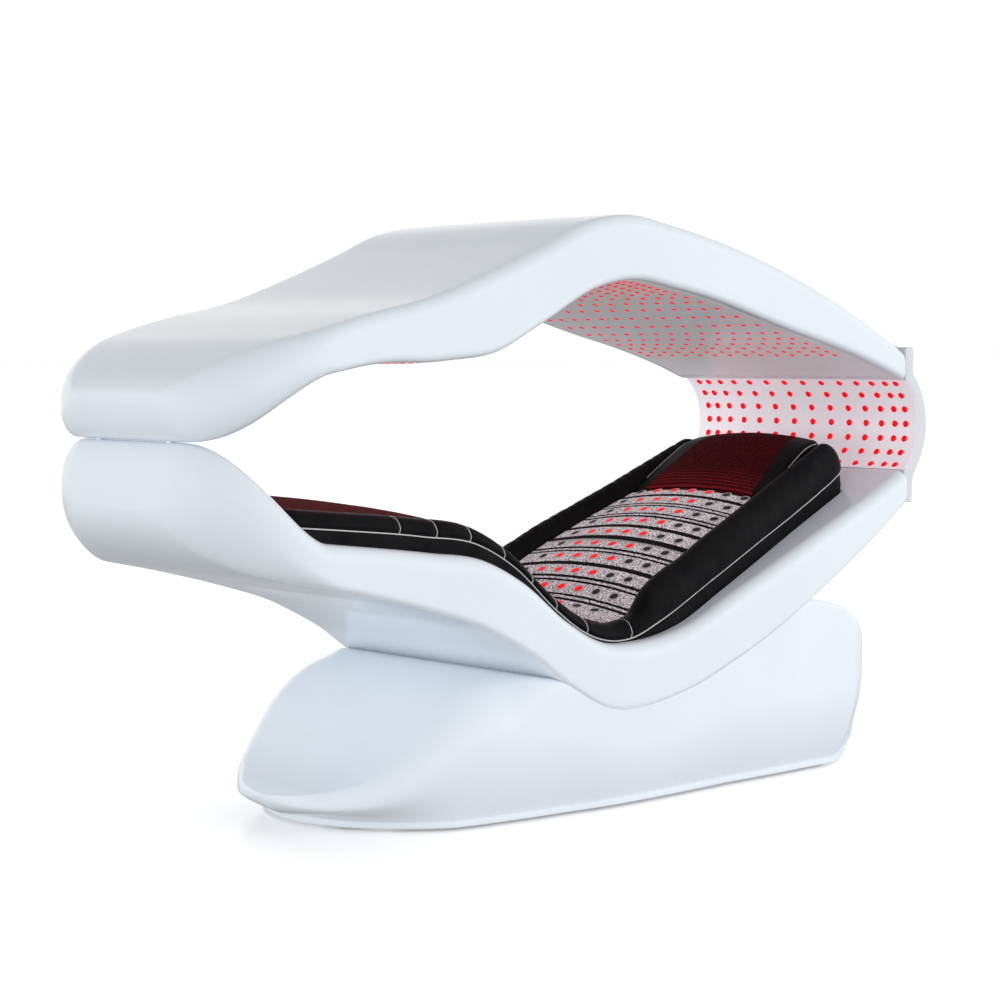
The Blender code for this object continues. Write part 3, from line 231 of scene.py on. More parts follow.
# Base: a low pedestal moulding in white gloss plastic. Its side leans out from a lip at the floor and meets
# the couch in a flush seam, its nose rounds over at the foot, and a service bay is let into its back.
HEAD_X = 0.995
WIDTH = 0.81
BODY_LENGTH = 2.15
SEAT_Z = 0.386
FIT = 0.0003
COUCH_TIP_Z = 0.735
FOOT_SLOPE = 0.20
BASE_TIP = 1.775
BASE_REAR = 0.07
BASE_REACH = 0.15
BASE_TOP_REACH = 0.32
BASE_BULGE_Z = 0.24
BASE_CREST = 0.445
BASE_FLOOR = 0.006
BASE_TUCK = 0.048
BASE_LEAN = 0.20
BASE_LIP = 0.007
LIP_CORNER = 0.002
BASE_WALL = 0.007
BASE_SHOULDER = 0.130
BASE_NECK = 1.20
BASE_OVERLAP = 0.03
BASE_INTO = 0.004
SHOULDER_GROWS = 0.22
TIP_Z = 0.074
TIP_TOP_REACH = 0.06
TIP_POINT = 0.03
FOOTPRINT_FROM = 1.20
FOOTPRINT_TIP = 1.695
FOOTPRINT_HALF = 0.385
BAY_HALF = 0.165
BAY_LOW = 0.085
BAY_HIGH = 0.315
BAY_AT = 0.23
BAY_LEDGE = 0.014


def line(stations):
    """A smooth curve through (distance, height) stations: cubics between them, straight past both ends."""
    at, height = np.array(sorted(stations), float).T
    slope = np.gradient(height, at)

    def curve(d):
        d = np.asarray(d, float)
        i = np.clip(np.searchsorted(at, d) - 1, 0, len(at) - 2)
        span = at[i + 1] - at[i]
        t = np.clip((d - at[i]) / span, 0, 1)
        rise = (2 * t ** 3 - 3 * t ** 2 + 1) * height[i] + (3 * t ** 2 - 2 * t ** 3) * height[i + 1]
        lean = (t ** 3 - 2 * t ** 2 + t) * slope[i] + (t ** 3 - t ** 2) * slope[i + 1]
        past = np.minimum(d - at[0], 0) * slope[0] + np.maximum(d - at[-1], 0) * slope[-1]
        return rise + lean * span + past

    return curve


def ease(d, start, stop):
    """0 before start, 1 after stop and a smooth step between."""
    t = np.clip((np.asarray(d, float) - start) / (stop - start), 0, 1)
    return t * t * (3 - 2 * t)


def round_off(d, tip, reach):
    """1 along the body, falling on a quarter ellipse to almost nothing at the tip."""
    t = np.clip((np.asarray(d, float) - tip + reach) / reach, 0, 1)
    return np.maximum(np.sqrt(1 - t * t), 0.004)


couch_bed = line([
    (0.0, SEAT_Z + 0.367), (0.10, SEAT_Z + 0.319), (0.34, SEAT_Z + 0.216), (0.64, SEAT_Z + 0.091),
    (0.80, SEAT_Z + 0.026), (0.95, SEAT_Z), (1.08, SEAT_Z + 0.009), (1.20, SEAT_Z + 0.069),
    (1.33, SEAT_Z + 0.164), (1.44, SEAT_Z + 0.218), (1.60, SEAT_Z + 0.245),
    (BODY_LENGTH - 0.35, SEAT_Z + 0.270), (BODY_LENGTH, SEAT_Z + 0.310)])
couch_depth = line([
    (0.0, 0.093), (0.20, 0.128), (0.41, 0.156), (0.56, 0.164), (0.85, 0.150), (1.05, 0.156), (1.20, 0.152),
    (1.42, 0.159), (1.60, 0.130), (1.80, 0.103), (BODY_LENGTH, 0.075)])
base_front = line([
    (BASE_NECK, 0.318), (1.30, 0.329), (1.38, 0.320), (1.45, 0.292), (1.52, 0.240), (1.58, 0.178),
    (1.64, 0.128), (BASE_TIP - 0.075, 0.098), (BASE_TIP - 0.03, 0.086), (BASE_TIP, 0.078)])
base_inset = line([
    (BASE_REAR, 0.105), (BASE_REAR + 0.03, 0.055), (BASE_REAR + 0.08, 0.023), (0.31, 0.009), (0.60, 0.003),
    (1.10, 0.003), (1.30, 0.014), (1.42, 0.033), (1.52, 0.065), (1.60, 0.107), (1.66, 0.155),
    (BASE_TIP - 0.075, 0.205), (BASE_TIP - 0.02, 0.295), (BASE_TIP, 0.345)])


def couch_low(d):
    """Underside of the couch, which rolls up on a quarter ellipse to the tip of the foot end."""
    return COUCH_TIP_Z + (couch_bed(d) - couch_depth(d) - COUCH_TIP_Z) * round_off(d, BODY_LENGTH, FOOT_SLOPE)


def base_grid(d, wall=0.0, bottom=None):
    """Pedestal sections at the distances d, as rows of points.

    Each is a lip, a side that leans out on a parabola, a quarter round shoulder and a flat top, mirrored. The
    footprint ends in a half ellipse. Past it there is no lip, and the keel lifts to the tip.
    With a wall it is the inside of that section, taken down to bottom.
    """
    top_roll, foot_roll = (np.sqrt(1 - np.clip((BASE_REAR + reach - d) / reach, 0, 0.9999) ** 2)
                           for reach in (BASE_TOP_REACH, BASE_REACH))
    under = couch_low(d)
    top = np.where(d < BASE_NECK, np.minimum(under + BASE_OVERLAP, BASE_CREST),
                   np.minimum(base_front(np.maximum(d, BASE_NECK)), under + BASE_OVERLAP))
    keel = np.clip((d - FOOTPRINT_TIP) / (BASE_TIP - FOOTPRINT_TIP), 0, 0.9999)
    foot = BASE_FLOOR + (TIP_Z - BASE_FLOOR) * (1 - np.sqrt(1 - keel ** 2))
    top = TIP_Z + (top - TIP_Z) * round_off(d, BASE_TIP, TIP_TOP_REACH)
    half = (WIDTH / 2 - base_inset(d)) * round_off(d, BASE_TIP, TIP_POINT)
    low = BASE_BULGE_Z + (foot - BASE_BULGE_Z) * foot_roll
    high = BASE_BULGE_Z + (top - BASE_BULGE_Z) * top_roll
    tall = high - low
    lean = np.minimum(BASE_LEAN, 0.6 * tall)
    nose = np.clip((d - FOOTPRINT_FROM) / (FOOTPRINT_TIP - FOOTPRINT_FROM), 0, 1)
    footprint = np.minimum(half - BASE_TUCK * lean / BASE_LEAN, FOOTPRINT_HALF * np.sqrt(1 - nose ** 2))
    tuck = half - footprint
    shoulder = 2 * BASE_WALL + BASE_SHOULDER * ease(d, BASE_NECK, BASE_NECK + SHOULDER_GROWS)
    edge = np.minimum.reduce([shoulder, 0.35 * tall, 0.8 * half])
    lip = np.minimum(BASE_LIP, 0.1 * tall)
    t = np.linspace(0, 1, 15)
    turn = np.linspace(0, np.pi / 2, 11)
    lean_y = half[:, None] - wall - tuck[:, None] * (1 - t) ** 2
    lean_z = (low + 2 * lip)[:, None] + (lean - 2 * lip)[:, None] * t
    round_y = (half - wall - edge)[:, None] + edge[:, None] * np.cos(turn)
    round_z = (high - wall - edge)[:, None] + edge[:, None] * np.sin(turn)
    if wall:
        start_y, start_z = (footprint - wall)[:, None], bottom[:, None]
    else:
        flat = (nose < 1)[:, None]
        start_y = ((footprint + lip)[:, None] + np.array((-LIP_CORNER, 0.0, 0.0))) * flat
        start_z = low[:, None] + lip[:, None] * np.where(flat, (0.0, 0.3, 1.0), 2.0)
    y = np.concatenate([start_y, lean_y, round_y], 1)
    roof = under - BASE_WALL if wall else under + BASE_INTO
    z = np.minimum(np.concatenate([start_z, lean_z, round_z], 1), roof[:, None])
    y, z = np.concatenate([y, -y[:, ::-1]], 1), np.concatenate([z, z[:, ::-1]], 1)
    return np.stack([np.broadcast_to(HEAD_X - d[:, None], y.shape), y, z], -1)


def skin(name, grid, material, crease=35.0):
    """A closed piece over a grid of points: quads between them, columns joined round, end rows capped."""
    rows, columns = grid.shape[:2]
    index = np.arange(rows * columns).reshape(rows, columns)
    ahead = np.roll(index, -1, 1)
    quads = np.stack([index[:-1], ahead[:-1], ahead[1:], index[1:]], -1).reshape(-1, 4)
    mesh = bpy.data.meshes.new(name)
    faces = quads.tolist() + index[[0, -1]].tolist()
    mesh.from_pydata(grid.reshape(-1, 3).tolist(), [], faces)
    return settle(name, mesh, material, crease)


def settle(name, mesh, material, crease=35.0):
    """Turns a mesh's faces outwards, smooths it up to the crease angle and puts it in the scene."""
    form = bmesh.new()
    form.from_mesh(mesh)
    bmesh.ops.remove_doubles(form, verts=form.verts, dist=1e-6)
    bmesh.ops.recalc_face_normals(form, faces=form.faces)
    form.to_mesh(mesh)
    form.free()
    mesh.shade_smooth()
    mesh.set_sharp_from_angle(angle=math.radians(crease))
    if material:
        mesh.materials.append(material)
    piece = bpy.data.objects.new(name, mesh)
    scene.collection.objects.link(piece)
    return piece


def box(name, low, high):
    """A square-edged box between two corners."""
    (x0, y0, z0), (x1, y1, z1) = low, high
    ends = [[(x, y0, z0), (x, y1, z0), (x, y1, z1), (x, y0, z1)] for x in (x0, x1)]
    return skin(name, np.array(ends), None)


def baked(piece):
    """The piece's mesh with its modifiers applied."""
    return bpy.data.meshes.new_from_object(piece.evaluated_get(bpy.context.evaluated_depsgraph_get()))


def cut(piece, *tools, crease=35.0):
    """Takes the tools' shapes out of a piece, one after the other, and leaves a plain mesh."""
    for tool in tools:
        change = piece.modifiers.new(tool.name, "BOOLEAN")
        change.object = tool
        change.solver = "EXACT"
    piece.data = baked(piece)
    piece.modifiers.clear()
    for tool in tools:
        bpy.data.objects.remove(tool)
    piece.data.shade_smooth()
    piece.data.set_sharp_from_angle(angle=math.radians(crease))
    return piece


gloss_white = finish("gloss_white", (0.78, 0.835, 0.90), 0.16, Coat_Weight=0.12, Coat_Roughness=0.06,
                     Specular_IOR_Level=0.35)
drift(gloss_white, "Base Color", (2.2,), (0.765, 0.82, 0.885), (0.795, 0.85, 0.915), 0.3, 0.7)
drift(gloss_white, "Roughness", (34.0, 4.0), 0.12, 0.22)
bump(gloss_white, noise(gloss_white, 90.0, 2.0), 0.00012, 0.35)

rear = BASE_REAR + BASE_REACH * (1 - np.sin(np.radians(np.linspace(90, 4, 18))))
middle = np.linspace(BASE_REAR + BASE_REACH, BASE_NECK, 48)
front = BASE_NECK + (BASE_TIP - BASE_NECK) * np.sin(np.linspace(0, np.pi / 2, 61)[1:])
front = np.sort(np.concatenate([front, FOOTPRINT_TIP - np.array((0.0, 0.0005, 0.002, 0.005))]))
base_shell = skin("base_moulding", base_grid(np.concatenate([rear, middle, front])), gloss_white)
shut = rear[4:]
shut_low = base_grid(shut)[:, 0, 2] + BASE_WALL
bare = np.concatenate([[middle[0] + FIT], middle[1:], front[front < FOOTPRINT_TIP - 0.12]])
inside = np.concatenate([shut, bare])
inside_low = np.concatenate([shut_low, np.full(bare.shape, -BASE_FLOOR)])
base_hollow = skin("base_hollow", base_grid(inside, BASE_WALL, inside_low), None)
bay_x, out_x = HEAD_X - BAY_AT, HEAD_X - BASE_REAR + BASE_WALL
cut(base_hollow, box("bay_walls", (bay_x - BASE_WALL, -BAY_HALF - BASE_WALL, BAY_LOW - BASE_WALL),
                     (out_x, BAY_HALF + BASE_WALL, BAY_HIGH + BASE_WALL)))
cut(base_shell, base_hollow,
    box("bay", (bay_x, -BAY_HALF, BAY_LOW), (out_x, BAY_HALF, BAY_HIGH)),
    box("bay_window", (bay_x - 2 * BASE_WALL, -BAY_HALF + BAY_LEDGE, BAY_LOW + BAY_LEDGE),
        (out_x, BAY_HALF - BAY_LEDGE, BAY_HIGH - BAY_LEDGE)))
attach(base_shell, "couch")
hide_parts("base_shell")
base_lit.link(base_shell)


# Steelwork in the base: a floor plate on rubber feet, two box posts and the saddles that carry the couch.
# The plate and saddles are painted dark, the posts, ribs, rails and hinge are bare brushed steel. The straps
# behind the head panel are painted white like the shells, and so are the bumpers between them.
def dress(material, *names):
    """Gives the material to CAD nodes, in their objects' own slots."""
    for name in names:
        for place in nodes[name].material_slots:
            place.link = "OBJECT"
            place.material = material


steel = finish("brushed_steel", (0.55, 0.56, 0.58), 0.32, Metallic=1.0)
grain = noise(steel, 260.0, 2.0, (1.0, 0.06, 1.0))
feed(steel, "Base Color", ramp(steel, grain, (0.45, 0.46, 0.48), (0.66, 0.67, 0.69), 0.25, 0.75))
feed(steel, "Roughness", ramp(steel, grain, 0.24, 0.44))
bump(steel, grain, 0.00004, 0.4)
dark_steel = finish("painted_steel", (0.05, 0.05, 0.055), 0.5)
drift(dark_steel, "Base Color", (30.0,), (0.035, 0.035, 0.04), (0.07, 0.07, 0.075))
drift(dark_steel, "Roughness", (400.0, 2.0), 0.42, 0.62)
bump(dark_steel, noise(dark_steel, 700.0, 2.0), 0.00008, 0.5)
rubber = finish("rubber", (0.025, 0.025, 0.026), 0.8)
drift(rubber, "Base Color", (60.0,), (0.018, 0.018, 0.019), (0.04, 0.04, 0.041))
bump(rubber, noise(rubber, 900.0, 2.0), 0.0001, 0.5)
dress(steel, "post_front", "post_rear", "couch_left_rail", "couch_right_rail", "canopy_left_rib",
      "canopy_right_rib", "hinge_arm_left", "hinge_arm_right", "hinge_bar", "hinge_knuckle_middle")
dress(dark_steel, "base_plate", "saddle_front", "saddle_rear")
dress(rubber, "foot_front_left", "foot_front_right", "foot_rear_left", "foot_rear_right")
dress(gloss_white, "head_strap_left", "head_strap_right", "rest_bumper_left", "rest_bumper_right")

# Electrics in the base: a finned aluminium power supply, a plastic control box and, in the service bay, a
# vented panel with its fan, the mains inlet and the rocker. The plastics are moulded with a fine spark grain.
aluminium = finish("cast_aluminium", (0.62, 0.63, 0.65), 0.42, Metallic=1.0)
drift(aluminium, "Base Color", (45.0,), (0.54, 0.55, 0.57), (0.68, 0.69, 0.71))
drift(aluminium, "Roughness", (300.0,), 0.34, 0.52)
black_plastic = finish("black_plastic", (0.02, 0.02, 0.022), 0.45)
drift(black_plastic, "Base Color", (24.0,), (0.014, 0.014, 0.016), (0.028, 0.028, 0.03))
drift(black_plastic, "Roughness", (500.0,), 0.36, 0.56)
bump(black_plastic, noise(black_plastic, 1100.0, 2.0), 0.00006, 0.5)
board_white = finish("board_white", (0.70, 0.72, 0.70), 0.5)
drift(board_white, "Base Color", (8.0,), (0.66, 0.68, 0.66), (0.73, 0.75, 0.73))
drift(board_white, "Roughness", (220.0,), 0.42, 0.58)
dress(aluminium, "power_supply")
dress(black_plastic, "control_unit", "fan_frame", "fan_rotor", "mains_inlet", "mains_rocker")
dress(dark_steel, "service_panel")
dress(board_white, "couch_deck", "canopy_head_board", "canopy_body_board", "canopy_leg_board", "head_board")

# Couch: a hollow moulding in white gloss plastic that reclines at the back, dips at the hips and lifts the
# legs. Its foot end rises to meet the canopy and rolls over in a wide nose. The pad lies in a recess.
HEAD_BACK = 0.017
PARTING_Z = 0.876
PARTING_GAP = 0.0002
FOOT_CORNER = 0.26
FOOT_EDGE = 0.115
FOOT_EDGE_FROM = 0.30
FOOT_FLAT = 0.045
FOOT_BEND = 0.275
FOOT_ROLL = 0.05
FOOT_SAG = 0.024
SAG_FROM = 0.16
SHELL_EDGE = 0.034
SHELL_LOW_EDGE = 0.016
RIM = 0.046
RECESS = 0.03
PAD_HEAD = 0.10
PAD_FOOT = 0.175
PAD_PLAY = 0.002
SHOULDER_TAPER = 0.075
SHOULDER_AT = 0.95
STEP = 0.012
CORNER_POINTS = 13
SIDE_POINTS = 5


def shell_half(d):
    """Half width of both shells, with quarter round corners in plan at the foot end."""
    into = np.clip(d - BODY_LENGTH + FOOT_CORNER, 0, FOOT_CORNER * 0.9999)
    return WIDTH / 2 - FOOT_CORNER + np.sqrt(FOOT_CORNER ** 2 - into ** 2)


def foot_rise(d):
    """0 along the body, rising to 1 where both shells reach the parting line at the foot end."""
    return ease(d, BODY_LENGTH - FOOT_BEND, BODY_LENGTH - FOOT_FLAT)


def foot_edge(edge, d):
    """An edge radius that grows to the wide rounding of the foot end."""
    return edge + (FOOT_EDGE - edge) * ease(d, BODY_LENGTH - FOOT_EDGE_FROM, BODY_LENGTH - FOOT_FLAT)


def slab(d, low, high, half, low_edge=0.0, high_edge=0.0, crown=0.0, ends=(0.0, 0.0), across=14):
    """Rounded rectangles at the distances d, as rows of points: four corner arcs with straight runs between.

    The top is lifted by crown x (1 - (y / half)^2), and the radii in ends draw the section in at both ends
    on quarter circles.
    """
    inset = np.zeros_like(d)
    for reach, into in zip(ends, (d - d[0], d[-1] - d)):
        near = np.clip(reach - into, 0, reach)
        inset = inset + np.where(reach > 0, reach - np.sqrt(np.maximum(reach ** 2 - near ** 2, 0)), 0)
    low, high, half = low + inset, high - inset, half - inset
    tall = high - low
    low_edge = np.minimum.reduce([low_edge + 0 * d, 0.9 * half, 0.45 * tall])[:, None]
    high_edge = np.minimum.reduce([high_edge + 0 * d, 0.9 * half, 0.45 * tall])[:, None]
    turn = np.linspace(0, np.pi / 2, CORNER_POINTS)
    low, high, half, tall = (value[:, None] for value in (low, high, half, tall))
    arcs = []
    for side, top, start in ((1, 0, -np.pi / 2), (1, 1, 0.0), (-1, 1, np.pi / 2), (-1, 0, np.pi)):
        edge = high_edge if top else low_edge
        arcs.append((side * (half - edge) + edge * np.cos(start + turn),
                     (high - edge if top else low + edge) + edge * np.sin(start + turn)))
    run = np.linspace(0, 1, across + 1)[1:-1]
    rise = np.linspace(0, 1, SIDE_POINTS + 2)[1:-1]
    ys, zs = [], []
    for k, (y, z) in enumerate(arcs):
        after_y, after_z = arcs[(k + 1) % 4]
        share = rise if k in (0, 2) else run
        ys += [y, y[:, -1:] + (after_y[:, :1] - y[:, -1:]) * share]
        zs += [z, z[:, -1:] + (after_z[:, :1] - z[:, -1:]) * share]
    y, z = np.concatenate(ys, 1), np.concatenate(zs, 1)
    z = z + crown * (1 - (y / half) ** 2) * (z - low) / tall
    return np.stack([np.broadcast_to(HEAD_X - d[:, None], y.shape), y, z], -1)


def sagged(grid, d, low, high, sag):
    """Shell sections whose top, or underside for a negative sag, curves away to both sides at the foot.

    Points past SAG_FROM move by sag x (share of the way to the side)^2 x their share of the height, growing
    from the bend to the foot end and fading where the tip is thin.
    """
    tall = (high - low)[:, None]
    share = (grid[..., 2] - low[:, None]) / tall
    share = share if sag > 0 else 1 - share
    grow = foot_rise(d)[:, None]
    aside = np.clip((np.abs(grid[..., 1]) - SAG_FROM) / (WIDTH / 2 - SAG_FROM), 0, 1)
    grid[..., 2] -= sag * grow * np.minimum(1, tall / FOOT_EDGE) * share * aside ** 2
    return grid


def couch_high(d):
    """Top edge of the couch, which rises to the parting line and rolls over at the foot end."""
    rim = couch_bed(d) + (PARTING_Z - PARTING_GAP / 2 - couch_bed(d)) * foot_rise(d)
    return COUCH_TIP_Z + (rim - COUCH_TIP_Z) * round_off(d, BODY_LENGTH, FOOT_ROLL)


def recess_half(d):
    """Half width of the recess, which narrows from the hips to the shoulders."""
    return WIDTH / 2 - RIM - SHOULDER_TAPER * (1 - ease(d, 0.0, SHOULDER_AT))


def bed_top(d):
    """Floor of the recess, the face of the deck that the pad lies on."""
    return couch_bed(d) - RECESS


def stations(first, last, step):
    """Distances from first to last, evenly spaced and about a step apart."""
    return np.linspace(first, last, round((last - first) / step) + 1)


foot_turn = np.sin(np.linspace(0, np.pi / 2, 37))
foot_stations = BODY_LENGTH - FOOT_SLOPE * (1 - foot_turn)
bed_stations = np.concatenate([stations(FIT - HEAD_BACK, BODY_LENGTH - FOOT_SLOPE, STEP)[:-1], foot_stations])
bed_low, bed_high = couch_low(bed_stations), couch_high(bed_stations)
couch_shell = skin("couch_moulding", sagged(slab(
    bed_stations, bed_low, bed_high, shell_half(bed_stations), foot_edge(SHELL_LOW_EDGE, bed_stations),
    foot_edge(SHELL_EDGE, bed_stations), ends=(0.004, 0.0)), bed_stations, bed_low, bed_high, FOOT_SAG),
    gloss_white, crease=50)
hollow_d = stations(PAD_HEAD - PAD_PLAY, BODY_LENGTH - PAD_FOOT, STEP)
cut(couch_shell, skin("pad_recess", slab(
    hollow_d, bed_top(hollow_d), couch_high(hollow_d) + WIDTH, recess_half(hollow_d)), None), crease=50)
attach(couch_shell, "couch")
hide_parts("couch_shell")
under_lit.link(couch_shell)

# Bolster: two stuffed rolls in black leather, joined under the panels, high beside the back and low beside
# the legs. White piping runs along the foot of the rolls, and white cross seams quilt the seat and legs.
BOLSTER = 0.072
BOLSTER_BASE = 0.022
SEAMS = np.array((0.956, 1.101, 1.200, 1.275, 1.360, 1.461, 1.559, 1.663))
SEAM_PINCH = 0.10
SEAM_WIDE = 0.007
CREASES_END = 0.93
ROLL_END = 0.045
ROLL_CORNER = 0.055
ROLL_CORE = (0.018, 0.02)
HEAD_BULGE = 0.024
BULGE_REACH = 0.11
ROLL_SWELL = 0.006
AIR = 4.0
ROLL_STEPS = 6
ROLL_POINTS = 15
PIPING_POINT = 4
CROWN_POINT = 8
INNER_POINT = 11
PIPING_RADIUS = 0.0017
STITCH_RADIUS = 0.0011
PAD_FIRST = PAD_HEAD
PAD_LAST = BODY_LENGTH - PAD_FOOT - PAD_PLAY
LEG_JOIN = 0.96
roll_rise = line([
    (PAD_HEAD, 0.138), (0.20, 0.143), (0.45, 0.143), (0.72, 0.139), (0.83, 0.130), (0.88, 0.106),
    (0.92, 0.058), (LEG_JOIN, 0.048), (1.15, 0.052), (1.35, 0.068), (BODY_LENGTH - PAD_FOOT, 0.066)])
piping_rise = line([
    (PAD_HEAD, 0.056), (0.15, 0.045), (0.29, 0.036), (0.465, 0.038), (0.625, 0.038), (0.78, 0.036),
    (0.87, 0.022), (0.95, 0.005), (1.10, 0.010), (1.30, 0.030), (1.60, 0.033),
    (BODY_LENGTH - PAD_FOOT, 0.027)])


def smooth_run(points, samples):
    """Catmull-Rom curves through rows of points: each pair of neighbours is joined by that many steps."""
    t = np.arange(samples) / samples
    weights = 0.5 * np.stack([-t + 2 * t ** 2 - t ** 3, 2 - 5 * t ** 2 + 3 * t ** 3,
                              t + 4 * t ** 2 - 3 * t ** 3, t ** 3 - t ** 2], -1)
    padded = np.concatenate([points[:, :1], points, points[:, -1:]], 1)
    count = points.shape[1] - 1
    windows = np.stack([padded[:, k:k + count] for k in range(4)], 2)
    run = np.einsum("sf,nkfc->nksc", weights, windows).reshape(len(points), count * samples, 2)
    return np.concatenate([run, points[:, -1:]], 1)


def roll_profile(d):
    """One roll's section at the distances d, as (y, height over the deck): boxing, piping, roll, channel.

    The ends close on quarter circles and each cross seam pinches the roll towards its core.
    """
    gap = np.minimum(d - PAD_FIRST, PAD_LAST - d)
    end, corner = (np.sqrt(1 - (1 - np.clip(gap / reach, 0, 1)) ** 2) for reach in (ROLL_END, ROLL_CORNER))
    high = RECESS + roll_rise(d) * (0.36 + 0.64 * end)
    low = RECESS + piping_rise(d) * (0.65 + 0.35 * end)
    inner = recess_half(d) - PAD_PLAY - BOLSTER
    wide = 0.45 + 0.55 * corner
    outer = inner + BOLSTER * wide
    boxed = inner + BOLSTER * (0.85 + 0.15 * corner)
    tall = high - low
    mid = 0.47 * outer + 0.53 * inner
    drop = high - BOLSTER_BASE
    points = np.stack([np.stack(pair, -1) for pair in (
        (boxed - 0.011, 0 * d), (boxed - 0.002, 0.006 + 0 * d), (boxed, 0.018 + 0 * d),
        (outer - 0.002, low - 0.006), (outer - 0.0065 * wide, low), (outer - 0.001, low + 0.008),
        (outer, low + 0.32 * tall), (outer - 0.008 * wide, low + 0.66 * tall),
        (outer - 0.020 * wide, low + 0.90 * tall), (mid, high), (inner + 0.015 * wide, high - 0.08 * tall),
        (inner + 0.003 * wide, high - 0.30 * drop),
        (inner - 0.001, high - 0.62 * drop), (inner - 0.004, BOLSTER_BASE + 0.008 + 0 * d),
        (inner - 0.016, BOLSTER_BASE + 0 * d))], 1)
    run = smooth_run(points, ROLL_STEPS)
    core = np.stack([mid, 0.5 * (low + high)], -1)[:, None]
    pinch = np.exp(-((d[:, None] - SEAMS) / SEAM_WIDE) ** 2).max(1)
    inside = np.linspace(0, 1, run.shape[1])
    inside = ease(inside, 0.28, 0.38) * (1 - ease(inside, 0.75, 0.88))
    return run - (run - core) * (SEAM_PINCH * pinch)[:, None, None] * inside[None, :, None]


def overhang(d, height):
    """How far the head end bulges out over the rim, most at half height and nothing within the recess."""
    last = np.clip(1 - (d - PAD_FIRST) / BULGE_REACH, 0, 1)[:, None] ** 2
    up = np.clip((height - RECESS) / roll_rise(PAD_FIRST), 0, 1)
    return HEAD_BULGE * last * np.sqrt(1 - (2 * up - 1) ** 2)


def creases(d, seed):
    """Depths of the gathers across a roll: narrow dips at uneven distances, deeper towards the piping."""
    draw = np.random.default_rng(seed)
    at = np.cumsum(draw.uniform(0.018, 0.052, 26)) + PAD_FIRST + 0.03
    at = at[at < CREASES_END]
    deep = draw.uniform(0.0006, 0.0022, len(at))
    wide = draw.uniform(0.0035, 0.008, len(at))
    tilt = draw.uniform(-0.018, 0.018, len(at))
    s = np.linspace(0, 1, (ROLL_POINTS - 1) * ROLL_STEPS + 1)
    reach = d[:, None, None] - at - tilt * (s[None, :, None] - 0.5)
    window = ease(s, 0.27, 0.33) * (1 - ease(s, 0.72, 0.86))
    window = window * (0.45 + 0.55 * np.abs(np.cos(np.pi * (s - 0.27) / 0.45)))
    return (deep * np.exp(-(reach / wide) ** 2)).sum(2) * window


def bolster_grid(d):
    """Both rolls and the web under the panels, as rows of points across the bed."""
    run = roll_profile(d)
    core = run[:, (CROWN_POINT - 1) * ROLL_STEPS:CROWN_POINT * ROLL_STEPS + 1].mean(1)[:, None] - ROLL_CORE
    ray = run - core
    ray = ray / np.linalg.norm(ray, axis=2, keepdims=True)
    near, far = (run - ray * deep * creases(d, seed)[..., None] for seed, deep in ((11, 0.35), (23, 1.3)))
    floor = bed_top(d)[:, None] + FIT
    y = np.concatenate([-near[..., 0], far[:, ::-1, 0]], 1)
    z = np.concatenate([near[..., 1], far[:, ::-1, 1]], 1) + floor
    return np.stack([HEAD_X - d[:, None] + overhang(d, z - floor), y, z], -1)


def tube(path, radius, sides=10):
    """A round cord along a path of points: circles square to the path's run, kept upright."""
    ahead = np.gradient(path, axis=0)
    ahead = ahead / np.linalg.norm(ahead, axis=1, keepdims=True)
    aside = np.cross(ahead, (0.0, 0.0, 1.0))
    aside = aside / np.linalg.norm(aside, axis=1, keepdims=True)
    above = np.cross(aside, ahead)
    turn = np.linspace(0, 2 * np.pi, sides, endpoint=False)[:, None]
    return path[:, None] + radius * (np.cos(turn) * aside[:, None] + np.sin(turn) * above[:, None])


def joined(name, pieces):
    """One piece made of several."""
    form = bmesh.new()
    for piece in pieces:
        form.from_mesh(piece.data)
    mesh = pieces[0].data.copy()
    form.to_mesh(mesh)
    form.free()
    for piece in pieces:
        bpy.data.objects.remove(piece)
    made = bpy.data.objects.new(name, mesh)
    scene.collection.objects.link(made)
    mesh.name = name
    return made


def points_of(mesh):
    """A mesh's points as an array."""
    flat = np.empty(len(mesh.vertices) * 3)
    mesh.vertices.foreach_get("co", flat)
    return flat.reshape(-1, 3)


